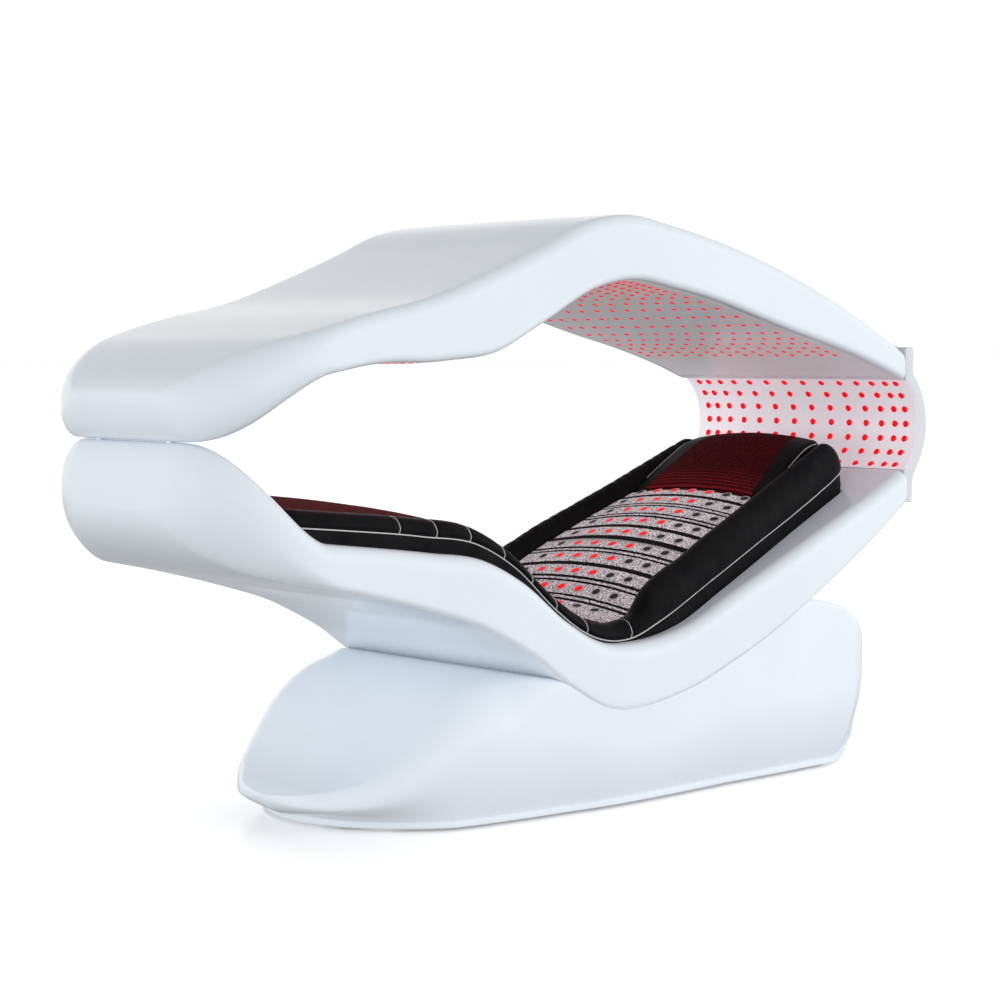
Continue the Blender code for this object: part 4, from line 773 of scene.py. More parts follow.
def swell(piece, held, cap, pressure, voxel=0.008, frames=20):
    """Lets a cushion's cover swell as cloth under air pressure, except where held(points) is true.

    A remeshed copy is blown up and no point of it moves further than cap. Its movements are averaged in cells
    of two voxels, blurred over the neighbouring cells, and laid on the piece's own points between the eight
    cells around each.
    """
    soft = bpy.data.objects.new("swelling", piece.data.copy())
    scene.collection.objects.link(soft)
    net = soft.modifiers.new("net", "REMESH")
    net.mode = "VOXEL"
    net.voxel_size = voxel
    soft.data = baked(soft)
    soft.modifiers.clear()
    start = points_of(soft.data)
    soft.vertex_groups.new(name="held").add(np.nonzero(held(start))[0].tolist(), 1.0, "REPLACE")
    cloth = soft.modifiers.new("cloth", "CLOTH")
    cloth.settings.quality = 3
    cloth.settings.use_pressure = True
    cloth.settings.uniform_pressure_force = pressure
    cloth.settings.effector_weights.gravity = 0.0
    cloth.settings.vertex_group_mass = "held"
    for step in range(1, frames + 1):
        scene.frame_set(step)
    moved = points_of(baked(soft)) - start
    scene.frame_set(1)
    bpy.data.objects.remove(soft)
    moved = moved * np.minimum(1, cap / np.maximum(np.linalg.norm(moved, axis=1), 1e-9))[:, None]
    cell = 2 * voxel
    corner = start.min(0) - 3 * cell
    total = np.zeros((*(np.ceil((start.max(0) - corner) / cell).astype(int) + 4), 4))
    np.add.at(total, tuple(((start - corner) / cell).astype(int).T), np.c_[moved, np.ones(len(moved))])
    for axis in range(3):
        total = total + np.roll(total, 1, axis) + np.roll(total, -1, axis)
    own = points_of(piece.data)
    place = (own - corner) / cell - 0.5
    cells = np.floor(place).astype(int)
    share = place - cells
    mean = 0
    for nook in np.ndindex(2, 2, 2):
        weight = np.prod(np.where(nook, share, 1 - share), axis=1)
        mean = mean + weight[:, None] * total[tuple((cells + nook).T)]
    own = own + mean[:, :3] / np.maximum(mean[:, 3:], 1e-9)
    piece.data.vertices.foreach_set("co", own.ravel())
    piece.data.update()


black_leather = finish("black_leather", (0.007, 0.007, 0.008), 0.45, Specular_IOR_Level=0.05)
drift(black_leather, "Base Color", (18.0, 4.0), (0.005, 0.005, 0.006), (0.010, 0.010, 0.011), 0.3, 0.7)
drift(black_leather, "Roughness", (160.0, 4.0), 0.38, 0.54, 0.3, 0.7)
leather_tree = black_leather.node_tree
pebble = wire(leather_tree, "ShaderNodeTexCoord", {})["Object"]
pebble = wire(leather_tree, "ShaderNodeTexVoronoi", {"Vector": pebble, "Scale": 480.0}, feature="SMOOTH_F1")
bump(black_leather, pebble["Distance"], 0.0004, 0.3)
white_cord = finish("white_cord", (0.62, 0.62, 0.62), 0.5)
drift(white_cord, "Base Color", (300.0,), (0.52, 0.52, 0.52), (0.70, 0.70, 0.70))
bump(white_cord, noise(white_cord, 1500.0, 2.0), 0.0002, 0.5)

roll_d = stations(PAD_FIRST, PAD_LAST, 0.0033)
bolster = skin("pad_bolster_leather", bolster_grid(roll_d), black_leather, crease=75)


def sewn_rolls(points):
    """Where the rolls' cover is held: at the cross seams, along the piping, and low down under the panels."""
    d = HEAD_X - points[:, 0]
    over = points[:, 2] - bed_top(d) - RECESS
    outer = np.abs(points[:, 1]) > recess_half(d) - PAD_PLAY - BOLSTER / 2
    at_seam = np.abs(d[:, None] - SEAMS).min(1) < 0.006
    at_end = np.minimum(d - PAD_FIRST, PAD_LAST - d) < ROLL_END
    return at_seam | at_end | (over < 0.012) | (outer & (over < piping_rise(d) + 0.010))


swell(bolster, sewn_rolls, ROLL_SWELL, AIR)
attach(bolster, "couch")
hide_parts("pad_bolster")

seam_d = stations(PAD_FIRST + 0.004, PAD_LAST - 0.004, 0.006)
seam = roll_profile(seam_d)[:, PIPING_POINT * ROLL_STEPS]
seam_side = np.stack([HEAD_X - seam_d + overhang(seam_d, seam[:, 1:])[:, 0], seam[:, 0] + 0.0005,
                      bed_top(seam_d) + FIT + seam[:, 1]], -1)
seam_near = seam_side * (1, -1, 1)
turn = np.linspace(np.pi / 2, -np.pi / 2, 41)[1:-1, None]
head_seam = seam_side[0] * (1, 0, 1) + np.concatenate(
    [0.010 * np.cos(turn) ** 0.5, seam_side[0, 1] * np.sin(turn), 0 * turn], 1)
piping = skin("pad_piping", tube(np.concatenate([seam_side[::-1], head_seam, seam_near]), PIPING_RADIUS),
              white_cord)
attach(piping, "couch")


def cross_seam(d, side):
    """A line of cord over one roll at the distance d, from the piping to the inner edge of the roll."""
    run = roll_profile(np.array([d]))[0, PIPING_POINT * ROLL_STEPS:INNER_POINT * ROLL_STEPS + 1]
    path = np.stack([0 * run[:, 0] + HEAD_X - d, side * run[:, 0], run[:, 1] + bed_top(d) + FIT], -1)
    path[:, 0] += 1e-4 * np.arange(len(path))
    return skin("seam", tube(path, STITCH_RADIUS, 6), white_cord)


seams = joined("pad_cross_seams", [cross_seam(d, side) for d in SEAMS for side in (-1, 1)])
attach(seams, "couch")

# Panels of the pad: a head pillow and a leg cushion under dark red sports mesh, and between them a grey marl
# insert with rows of windows for the light mat below. They fill the channel between the two rolls, and the
# pillow's mesh is a trapezoid let into black leather.
HEAD_JOIN = 0.36
SEAT_PAD = 0.100
LEG_PAD = 0.070
PILLOW = 0.150
PAD_CROWN = 0.018
PAD_EDGE = 0.016
PAD_SIDE = 0.006
PANEL_SWELL = 0.004
PANEL_CAP = 0.008
PANEL_ACROSS = 90
PANEL_STEP = 0.005
MAT = 0.006
MESH_WIDE = 0.19
MESH_NARROW = 0.14
MESH_FROM = 0.12
MESH_SHARE = 0.7
MESH_DEEP = 0.03
MESH_STITCH = 0.0040
MESH_ROW = 0.0052
pillow_rise = line([
    (PAD_HEAD, PILLOW - 0.016), (0.17, PILLOW), (0.24, PILLOW - 0.012), (0.31, PILLOW - 0.032),
    (HEAD_JOIN, PILLOW - 0.047)])
insert_rise = line([
    (HEAD_JOIN, SEAT_PAD), (0.50, SEAT_PAD + 0.002), (0.63, SEAT_PAD - 0.002), (0.74, SEAT_PAD - 0.006),
    (0.83, SEAT_PAD - 0.026), (0.90, SEAT_PAD - 0.055), (LEG_JOIN, SEAT_PAD - 0.058)])
leg_rise = line([
    (LEG_JOIN, LEG_PAD - 0.034), (1.10, LEG_PAD - 0.022), (1.25, LEG_PAD - 0.008), (1.40, LEG_PAD),
    (BODY_LENGTH - PAD_FOOT, LEG_PAD)])


def channel(d):
    """Bottom of the channel between the rolls."""
    return bed_top(d) + BOLSTER_BASE + 2 * FIT


def channel_half(d):
    """Half width between the rolls."""
    return recess_half(d) - PAD_PLAY - BOLSTER + 0.001


def panel_top(rise, d):
    """Top of a panel: its rise over the rim's line, less the room that the swelling cover takes up."""
    return bed_top(d) + RECESS + rise(d) - PANEL_SWELL


def mesh_edge(d):
    """Half width of the pillow's trapezoid of mesh."""
    return np.interp(d, (MESH_FROM, HEAD_JOIN), (MESH_NARROW, MESH_WIDE))


def points_of_faces(mesh):
    """The middles of a mesh's faces as an array."""
    flat = np.empty(len(mesh.polygons) * 3)
    mesh.polygons.foreach_get("center", flat)
    return flat.reshape(-1, 3)


def panel(name, first, last, under, rise, covers, edge=None):
    """A crowned cushion over the channel from first to last.

    Where an inner edge is given, its columns keep to that, and the faces inside take the first cover and the
    others the second.
    """
    curl = PAD_EDGE * (1 - np.cos(np.linspace(0, np.pi / 2, 8)))
    flat = stations(first + PAD_EDGE, last - PAD_EDGE, PANEL_STEP)
    d = np.concatenate([first + curl[:-1], flat, (last - curl[:-1])[::-1]])
    half = channel_half(d)
    grid = slab(d, channel(d) + under, panel_top(rise, d), half, 0.003, PAD_EDGE, PAD_CROWN,
                ends=(PAD_EDGE, PAD_EDGE), across=PANEL_ACROSS)
    if not edge:
        return skin(name, grid, covers[0], crease=60)
    corner = 2 * CORNER_POINTS + SIDE_POINTS - 1
    t = np.linspace(1, -1, PANEL_ACROSS + 1)[1:-1]
    reach, level, seam = grid[:, corner, 1][:, None], grid[:, corner, 2][:, None], edge(d)[:, None]
    beyond = np.sign(t) * (seam + (np.abs(t) - MESH_SHARE) / (1 - MESH_SHARE) * (reach - seam))
    y = np.where(np.abs(t) < MESH_SHARE, t / MESH_SHARE * seam, beyond)
    top = slice(corner + 1, corner + PANEL_ACROSS)
    grid[:, top, 1] = y
    grid[:, top, 2] = level + PAD_CROWN * ((reach / half[:, None]) ** 2 - (y / half[:, None]) ** 2)
    piece = skin(name, grid, covers[0], crease=60)
    piece.data.materials.append(covers[1])
    faces = points_of_faces(piece.data)
    along = HEAD_X - faces[:, 0]
    outside = (np.abs(faces[:, 1]) > edge(along)) | (faces[:, 2] < panel_top(rise, along) - MESH_DEEP)
    piece.data.polygons.foreach_set("material_index", outside.astype(np.int32))
    return piece


def knit(name, light, dark, gap):
    """Sports mesh: rows of short stitches, each row half a stitch along, with a dark gap round each."""
    cloth = finish(name, light, 0.8, Specular_IOR_Level=0.03)
    tree = cloth.node_tree
    spot = wire(tree, "ShaderNodeTexCoord", {})["Object"]
    spot = wire(tree, "ShaderNodeMapping", {"Vector": spot, "Rotation": (0.0, 0.0, math.pi / 2)})["Vector"]
    stitch = wire(tree, "ShaderNodeTexBrick", {
        "Vector": spot, "Color1": (*light, 1.0), "Color2": (*dark, 1.0), "Mortar": (*gap, 1.0), "Scale": 1.0,
        "Mortar Size": 0.0008, "Mortar Smooth": 0.6, "Brick Width": MESH_STITCH, "Row Height": MESH_ROW})
    bump(cloth, stitch["Fac"], -0.0007, 0.8)
    return cloth, stitch["Color"]


red_mesh, stitches = knit("red_mesh", (0.21, 0.012, 0.018), (0.10, 0.006, 0.009), (0.012, 0.003, 0.004))
feed(red_mesh, "Base Color", stitches)
pillow_mesh, stitches = knit(
    "pillow_mesh", (0.150, 0.010, 0.014), (0.055, 0.005, 0.007), (0.006, 0.002, 0.003))
mesh_tree = pillow_mesh.node_tree
along = wire(mesh_tree, "ShaderNodeTexCoord", {})["Object"]
wave = wire(mesh_tree, "ShaderNodeTexWave", {
    "Vector": along, "Scale": 32.0, "Distortion": 1.2, "Detail": 1.0, "Detail Scale": 0.6},
    bands_direction="X")["Fac"]
along = wire(mesh_tree, "ShaderNodeSeparateXYZ", {"Vector": along})["X"]
low_part = ramp(pillow_mesh, along, 1.0, 0.0, HEAD_X - 0.335, HEAD_X - 0.285)
lines = wire(mesh_tree, "ShaderNodeMath", {0: ramp(pillow_mesh, wave, 0.0, 1.0, 0.55, 0.95), 1: low_part},
             operation="MULTIPLY")[0]
feed(pillow_mesh, "Base Color", wire(mesh_tree, "ShaderNodeMix", {
    0: lines, 6: stitches, 7: (0.26, 0.014, 0.022, 1.0)}, data_type="RGBA")[2])

ROW_PITCH = 0.0597
ROW_FIRST = 0.378
ROWS = ROW_FIRST + ROW_PITCH * np.arange(10)
SINGLE_STRIPES = (0, 3, 6)
JOIN_STRIPE = 4
JOIN_BAND = 0.0105
SINGLE_BAND = 0.0072
DOUBLE_BAND = (0.0034, 0.0114)
grey_marl = finish("grey_marl", (0.30, 0.28, 0.30), 0.9, Specular_IOR_Level=0.1)
marl_tree = grey_marl.node_tree
marl = noise(grey_marl, 330.0, 3.0, (1.0, 0.5, 1.0))
fleece = ramp(grey_marl, marl, (0.06, 0.05, 0.06), (0.98, 0.93, 0.98), 0.36, 0.56)
rough_edge = ramp(grey_marl, noise(grey_marl, 210.0, 2.0), -0.0032, 0.0032)
along = wire(marl_tree, "ShaderNodeTexCoord", {})["Object"]
along = wire(marl_tree, "ShaderNodeSeparateXYZ", {"Vector": along})["X"]
along = wire(marl_tree, "ShaderNodeMath", {0: along, 1: rough_edge}, operation="ADD")[0]
along = wire(marl_tree, "ShaderNodeMapRange", {
    "Value": along, "From Min": HEAD_X - HEAD_JOIN, "From Max": HEAD_X - LEG_JOIN})["Result"]
stripes = wire(marl_tree, "ShaderNodeValToRGB", {"Fac": along})["Color"]
bands = []
for gap, middle in enumerate(ROWS[:-1] + ROW_PITCH / 2):
    if gap == JOIN_STRIPE or gap in SINGLE_STRIPES:
        half = JOIN_BAND if gap == JOIN_STRIPE else SINGLE_BAND
        bands.append((middle - half, middle + half))
    else:
        inner, outer = DOUBLE_BAND
        bands += [(middle - outer, middle - inner), (middle + inner, middle + outer)]
stops = stripes.node.color_ramp
stops.interpolation = "CONSTANT"
stops.elements[0].color = (0.0, 0.0, 0.0, 1.0)
stops.elements[1].position = 0.999
stops.elements[1].color = (0.0, 0.0, 0.0, 1.0)
for band in bands:
    for edge, on in zip(band, (1.0, 0.0)):
        stops.elements.new((edge - HEAD_JOIN) / (LEG_JOIN - HEAD_JOIN)).color = (on, on, on, 1.0)
feed(grey_marl, "Base Color", wire(marl_tree, "ShaderNodeMix", {
    0: stripes, 6: fleece, 7: (0.008, 0.007, 0.008, 1.0)}, data_type="RGBA")[2])
bump(grey_marl, marl, 0.0006, 0.6)

pillow = panel("pad_head_pillow", PAD_FIRST + PAD_SIDE, HEAD_JOIN - FIT, 0.0, pillow_rise,
               (pillow_mesh, black_leather), mesh_edge)
insert = panel("pad_grey_insert", HEAD_JOIN + FIT, LEG_JOIN - FIT, MAT + FIT, insert_rise, (grey_marl,))
leg_cushion = panel("pad_leg_cushion", LEG_JOIN + FIT, PAD_LAST - PAD_SIDE, 0.0, leg_rise, (red_mesh,))


def sewn_panel(rise, first, last, edge=None):
    """Where a panel's cover is held: round its border, below its top, and along the edge of the mesh."""
    def held(points):
        d = HEAD_X - points[:, 0]
        border = np.abs(points[:, 1]) > channel_half(d) - 0.014
        border |= np.minimum(d - first, last - d) < 0.014
        border |= points[:, 2] < panel_top(rise, d) - 0.012
        return border | (np.abs(np.abs(points[:, 1]) - edge(d)) < 0.004) if edge else border
    return held


DOME_SIDES = 12


def domes(name, centre, normal, aside, upward, proud, material):
    """A field of shallow domes: two rings and a crown on each seat, the rim sunk a little into the panel.

    The lengths of aside and upward are the half axes of the dome's oval.
    """
    sides = DOME_SIDES
    turn = np.linspace(0, 2 * np.pi, sides, endpoint=False)
    reach = np.concatenate([np.repeat([1.0, 1.0, 0.62], sides), [0.0, 0.0]])
    rise = np.concatenate([np.repeat([-0.6, 0.35, 0.85], sides), [1.0, -0.6]]) * proud
    angle = np.concatenate([turn, turn, turn, [0.0, 0.0]])
    points = (centre[:, None] + (reach * np.cos(angle))[:, None] * aside[:, None]
              + (reach * np.sin(angle))[:, None] * upward[:, None] + rise[:, None] * normal[:, None])
    here = np.arange(sides)
    after = np.roll(here, -1)
    rings = [np.stack([here + k, after + k, after + k + sides, here + k + sides], -1) for k in (0, sides)]
    crown = np.stack([here + 2 * sides, after + 2 * sides, np.full(sides, 3 * sides)], -1)
    seat = np.stack([after, here, np.full(sides, 3 * sides + 1)], -1)
    shift = (np.arange(len(centre)) * len(reach))[:, None, None]
    faces = [(part + shift).reshape(-1, part.shape[-1]).tolist() for part in (*rings, crown, seat)]
    mesh = bpy.data.meshes.new(name)
    mesh.from_pydata(points.reshape(-1, 3).tolist(), [], sum(faces, []))
    return settle(name, mesh, material, 50)


for piece, node, finish_slot, held in (
        (pillow, "pad_head_panel", "red_mesh", sewn_panel(pillow_rise, PAD_FIRST, HEAD_JOIN, mesh_edge)),
        (insert, "pad_seat_panel", "grey_fabric", sewn_panel(insert_rise, HEAD_JOIN, LEG_JOIN)),
        (leg_cushion, "pad_leg_panel", "red_mesh", sewn_panel(leg_rise, LEG_JOIN, PAD_LAST))):
    swell(piece, held, PANEL_CAP, AIR)
    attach(piece, "couch")
    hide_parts(node)
pad_lit.link(insert)
dress(rubber, "pad_light_mat")

# Windows and edgings of the insert: oval eyelets over the lamps of the light mat, the middle four of each row
# lit red, a white zigzag where its two halves are joined, and thin white edgings beside the pillow and hips.
WINDOW_COLUMNS = 7
LIT_COLUMNS = (1, 4)
WINDOW_PITCH = 0.0623
WINDOW_DRIFT = 0.006
WINDOW_WIDE = 0.0118
WINDOW_LONG = 0.0112
WINDOW_RIM = 0.0040
WINDOW_PROUD = 0.0024
ZIGZAG_AT = 0.0125
ZIGZAG_END = 0.012
ZIGZAG_STEP = 0.0055
ZIGZAG_DEEP = 0.0050
ZIGZAG_RADIUS = 0.0019
EDGING_RADIUS = 0.0010
EDGING_INTO = 0.001
EDGING_LOW = 0.009


def lie_on(piece, d, y):
    """The points of a piece's top straight over the distances d and places y, and its normals there."""
    bpy.context.view_layer.update()
    hits = [piece.ray_cast((HEAD_X - along, across, 2.0), (0.0, 0.0, -1.0)) for along, across in zip(d, y)]
    return np.array([hit[1] for hit in hits]), np.array([hit[2] for hit in hits])


def eyelets(name, d, y, wide, long, proud, material):
    """Oval domes on the insert at the distances d and places y, turned with its surface."""
    seat, normal = lie_on(insert, d, y)
    aside = np.cross(normal, (1.0, 0.0, 0.0))
    aside = aside / np.linalg.norm(aside, axis=1, keepdims=True)
    made = domes(name, seat, normal, aside * wide, np.cross(normal, aside) * long, proud, material)
    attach(made, "couch")
    return made


red_lens = finish("red_lens", (0.30, 0.002, 0.004), 0.25, Emission_Color=(1.0, 0.001, 0.004, 1.0),
                  Emission_Strength=0.85, Specular_IOR_Level=0.08)
drift(red_lens, "Roughness", (200.0,), 0.18, 0.34)
row, column = np.meshgrid(np.arange(len(ROWS)), np.arange(WINDOW_COLUMNS), indexing="ij")
row, column = row.ravel(), column.ravel()
window_d = ROWS[row]
window_y = WINDOW_PITCH * (WINDOW_COLUMNS // 2 - column) + WINDOW_DRIFT * np.sin(2.1 * row)
lit = (column >= LIT_COLUMNS[0]) & (column <= LIT_COLUMNS[1])
rims = eyelets("pad_window_rims", window_d, window_y, WINDOW_WIDE + WINDOW_RIM, WINDOW_LONG + WINDOW_RIM,
               0.55 * WINDOW_PROUD, white_cord)
window = WINDOW_WIDE, WINDOW_LONG, WINDOW_PROUD
lit_windows = eyelets("pad_windows_lit", window_d[lit], window_y[lit], *window, red_lens)
dark_windows = eyelets("pad_windows_dark", window_d[~lit], window_y[~lit], *window, rubber)

join_d = ROWS[JOIN_STRIPE] + ROW_PITCH / 2 + ZIGZAG_AT
join_y = np.arange(-channel_half(join_d) + ZIGZAG_END, channel_half(join_d) - ZIGZAG_END, ZIGZAG_STEP)
path, _ = lie_on(insert, join_d + ZIGZAG_DEEP * (np.arange(len(join_y)) % 2), join_y)
zigzag = skin("pad_zigzag_join", tube(path + (0.0, 0.0, ZIGZAG_RADIUS / 2), ZIGZAG_RADIUS, 6), white_cord)
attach(zigzag, "couch")

edgings = []
for first, last, rise in ((0.13, 0.31, pillow_rise), (0.87, 0.952, insert_rise)):
    d = stations(first, last, 0.006)
    for side in (-1, 1):
        path = np.stack([HEAD_X - d, side * (channel_half(d) + EDGING_INTO),
                         bed_top(d) + RECESS + rise(d) - EDGING_LOW], -1)
        edgings.append(skin("edging", tube(path, EDGING_RADIUS, 8), white_cord))
edging = joined("pad_edgings", edgings)
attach(edging, "couch")

# Head panel: a white moulded board across the head end with an arc in its middle, set with rows of red lenses
# that close up towards both sides. A white drum housing covers its back and the steel straps.
PANEL_X = HEAD_X + HEAD_BACK
HEAD_HALF = WIDTH / 2 - 0.012
HINGE_HALF = HEAD_HALF - 0.045
FLANGE_TOP = 1.0505
FLANGE_LOW = 0.672
ARC_TOP = FLANGE_TOP - 0.0565
ARC_LOW = FLANGE_LOW + 0.087
ARC_SAG = 0.056
PANEL_THICK = 0.036
STRAP = 0.006
HOUSING_DEPTH = 0.143
HOUSING_EDGE = 0.03
LENS_COLUMNS = 14
LENS_ROWS = 7
LENS_RADIUS = 0.009
LENS_PROUD = 0.003
LENS_FIELD = HEAD_HALF - 0.041
LENS_FAN = math.radians(62)
EAR_TOP = 1.079
EAR_WIDE = 0.040
BOARD_EDGE = 0.004
ARC_HALF = (ARC_TOP - ARC_LOW) / 2
ARC_MIDDLE = (ARC_TOP + ARC_LOW) / 2
ARC_RADIUS = (ARC_HALF ** 2 + ARC_SAG ** 2) / (2 * ARC_SAG)


def omega(behind):
    """The head panel's line set back by some distance: flange, arc that bulges to the head, flange."""
    radius = ARC_RADIUS + behind
    centre = ARC_SAG - ARC_RADIUS
    sweep = math.acos((behind - centre) / radius)
    a = np.linspace(sweep, -sweep, 41)
    x = np.concatenate([[behind], centre + radius * np.cos(a), [behind]])
    z = np.concatenate([[FLANGE_TOP], ARC_MIDDLE + radius * np.sin(a), [FLANGE_LOW]])
    return np.stack([PANEL_X + x, z], -1)


head_white = finish("head_white", (0.66, 0.68, 0.72), 0.30)
drift(head_white, "Base Color", (3.0,), (0.64, 0.66, 0.70), (0.68, 0.70, 0.74))
# Painted light: the front of the arc glows a faint pink, brightening it in the shade between the shells as
# the red light of its lenses would.
head_painted_glow = finish("head_painted_glow", (0.80, 0.79, 0.83), 0.30, Emission_Color=(1.0, 0.88, 0.97, 1.0),
                   Emission_Strength=0.26)
# Painted light: the light sheet glows faintly white, to brighten it in the shade under the canopy.
panel_white = finish("panel_white", (0.70, 0.70, 0.72), 0.32, Emission_Color=(0.95, 0.95, 1.0, 1.0),
                     Emission_Strength=0.1)
drift(panel_white, "Base Color", (3.0,), (0.67, 0.67, 0.69), (0.73, 0.73, 0.75))
for material, smooth, dull in ((head_white, 0.24, 0.38), (head_painted_glow, 0.24, 0.38), (panel_white, 0.26, 0.40)):
    drift(material, "Roughness", (60.0,), smooth, dull)
    bump(material, noise(material, 600.0, 2.0), 0.00005, 0.4)


def board(front, back, y0, y1):
    """A board with rounded edges between a front line and a back line of (x, z) points, from y0 to y1.

    Each row is a rounded rectangle across the board, point = front + (back - front) x share of its depth. The
    first and last rows are drawn in on quarter circles.
    """
    curl = BOARD_EDGE * (1 - np.cos(np.radians((0, 30, 60))))
    draw = BOARD_EDGE * (1 - np.sin(np.radians((0, 30, 60))))

    def ends(path):
        """A line whose end points are each drawn out into three, for the rounded edge."""
        step = [(path[k] - path[j]) / np.linalg.norm(path[k] - path[j]) for j, k in ((0, 1), (-1, -2))]
        first, last = (path[j] + curl[:, None] * way for j, way in zip((0, -1), step))
        return np.concatenate([first, path[1:-1], last[::-1]])

    front, back = ends(front), ends(back)
    inset = np.concatenate([draw, np.zeros(len(front) - 2 * len(draw)), draw[::-1]])[:, None]
    thick = np.linalg.norm(back - front, axis=1)[:, None]
    turn = np.linspace(0, np.pi / 2, 6)
    corners = ((1, 1, 0.0), (-1, 1, np.pi / 2), (-1, -1, np.pi), (1, -1, 1.5 * np.pi))
    middle, wide = 0.5 * (y0 + y1), 0.5 * (y1 - y0) - BOARD_EDGE - inset
    deep = 0.5 * thick - BOARD_EDGE - inset
    y = np.concatenate([middle + across * wide + BOARD_EDGE * np.cos(start + turn)
                        for across, _, start in corners], 1)
    t = np.concatenate([0.5 * thick + into * deep + BOARD_EDGE * np.sin(start + turn)
                        for _, into, start in corners], 1) / thick
    xz = front[:, None] + t[..., None] * (back - front)[:, None]
    return np.stack([xz[..., 0], y, xz[..., 1]], -1)


ear = np.array([(PANEL_X, FLANGE_TOP - 0.02), (PANEL_X, FLANGE_TOP), (PANEL_X, EAR_TOP)])
ear_back = ear + (PANEL_THICK, 0.0)
boards = [board(omega(0.0), omega(PANEL_THICK), -HEAD_HALF, HEAD_HALF),
          board(ear, ear_back, HEAD_HALF - EAR_WIDE, HEAD_HALF),
          board(ear, ear_back, -HEAD_HALF, EAR_WIDE - HEAD_HALF)]
head_panel = joined("head_light_board", [skin("board", grid, head_white, crease=40) for grid in boards])
head_panel.data.materials.append(head_painted_glow)
# The faces on the front of the arc take the painted pink glow.
middles = points_of_faces(head_panel.data)
facing = np.empty(len(middles) * 3)
head_panel.data.polygons.foreach_get("normal", facing)
arc_painted_glow = (facing.reshape(-1, 3)[:, 0] < -0.5) & (middles[:, 2] < ARC_TOP) & (middles[:, 2] > ARC_LOW)
head_panel.data.polygons.foreach_set("material_index", arc_painted_glow.astype(np.int32))
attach(head_panel, "couch")
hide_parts("head_light_panel")

lens_sweep = math.asin((ARC_HALF - 1.2 * LENS_RADIUS) / ARC_RADIUS)
lens_a, lens_f = np.meshgrid(np.linspace(-lens_sweep, lens_sweep, LENS_ROWS),
                             np.linspace(-LENS_FAN, LENS_FAN, LENS_COLUMNS), indexing="ij")
lens_a, lens_f = lens_a.ravel(), lens_f.ravel()
inward = np.stack([-np.cos(lens_a), 0 * lens_a, -np.sin(lens_a)], -1)
lens_seat = np.stack([PANEL_X + ARC_SAG - ARC_RADIUS + ARC_RADIUS * np.cos(lens_a),
                      LENS_FIELD * np.sin(lens_f) / math.sin(LENS_FAN),
                      ARC_MIDDLE + ARC_RADIUS * np.sin(lens_a)], -1)
lens_aside = np.broadcast_to((0.0, LENS_RADIUS, 0.0), inward.shape)
head_lenses = domes("head_lenses", lens_seat, inward, lens_aside, np.cross(inward, lens_aside), LENS_PROUD,
                    red_lens)
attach(head_lenses, "couch")

drum_start = PANEL_THICK + STRAP + 2 * FIT
curl = np.radians(np.linspace(0, 90, 12))
drum_inset = HOUSING_EDGE * (1 - np.sin(curl))
drum_y = HINGE_HALF - HOUSING_EDGE * (1 - np.cos(curl))
drum_y, drum_inset = np.concatenate([drum_y, -drum_y[::-1]]), np.concatenate([drum_inset, drum_inset[::-1]])
arch = np.linspace(-np.pi / 2, np.pi / 2, 61)
drum_tall = ((FLANGE_TOP - FLANGE_LOW) / 2 - drum_inset)[:, None]
drum_x = drum_start + (HOUSING_DEPTH - drum_start - drum_inset)[:, None] * np.cos(arch)
drum_z = (FLANGE_TOP + FLANGE_LOW) / 2 + drum_tall * np.sin(arch)
face_z = (FLANGE_TOP + FLANGE_LOW) / 2 + drum_tall * np.linspace(1, -1, 43)[1:-1]
hollow = (ARC_RADIUS + drum_start) ** 2 - (face_z - ARC_MIDDLE) ** 2
face_x = np.maximum(drum_start, ARC_SAG - ARC_RADIUS + np.sqrt(np.maximum(hollow, 0)))
drum_x, drum_z = np.concatenate([drum_x, face_x], 1), np.concatenate([drum_z, face_z], 1)
drum_y = np.broadcast_to(drum_y[:, None], drum_x.shape)
housing = skin("head_drum", np.stack([PANEL_X + drum_x, drum_y, drum_z], -1), gloss_white, crease=50)
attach(housing, "couch")
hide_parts("head_housing")

# Hinge bushes: sleeves turned from bronze, pressed into the eyes of the canopy's two arms. They run on the
# steel bar behind the top of the head panel.
bronze = finish("bronze", (0.50, 0.33, 0.15), 0.35, Metallic=1.0)
drift(bronze, "Base Color", (120.0, 2.0, (1.0, 0.1, 1.0)), (0.42, 0.27, 0.12), (0.60, 0.42, 0.22))
drift(bronze, "Roughness", (300.0,), 0.26, 0.44)
dress(bronze, "hinge_bush_left", "hinge_bush_right")

# Canopy: the upper moulding in white gloss plastic, humped over the hips and lower over the legs. It closes
# on the couch's foot end. A pale light panel with rows of red emitters is set into its underside.
RIDGE_Z = 1.382
CANOPY_TIP_Z = 0.965
CANOPY_CROWN = 0.002
HEAD_GAP = 0.008
HEAD_EDGE = 0.012
SHELL_WALL = 0.006
LIP = 0.03
LIGHT_END = 0.18
LIGHT_PROUD = 0.0012
LIGHT_THICK = 0.006
LIGHT_EDGE = 0.001
EMITTER_RADIUS = 0.0075
EMITTER_PROUD = 0.0022
EMITTER_COLUMNS = 14
EMITTER_FIRST = 0.20
EMITTER_PITCH = 0.048
EMITTER_SPREAD = 0.027
EMITTER_MARGIN = 0.05
EMITTER_FIELD = 0.335
EMITTER_FAN = math.radians(38)
canopy_crest = line([
    (0.0, RIDGE_Z - 0.308), (0.105, RIDGE_Z - 0.256), (0.42, RIDGE_Z - 0.129), (0.86, RIDGE_Z - 0.018),
    (0.99, RIDGE_Z), (1.13, RIDGE_Z - 0.021), (1.27, RIDGE_Z - 0.080), (1.42, RIDGE_Z - 0.140),
    (1.60, RIDGE_Z - 0.202), (1.78, RIDGE_Z - 0.242), (BODY_LENGTH - 0.23, RIDGE_Z - 0.280),
    (BODY_LENGTH, RIDGE_Z - 0.345)])
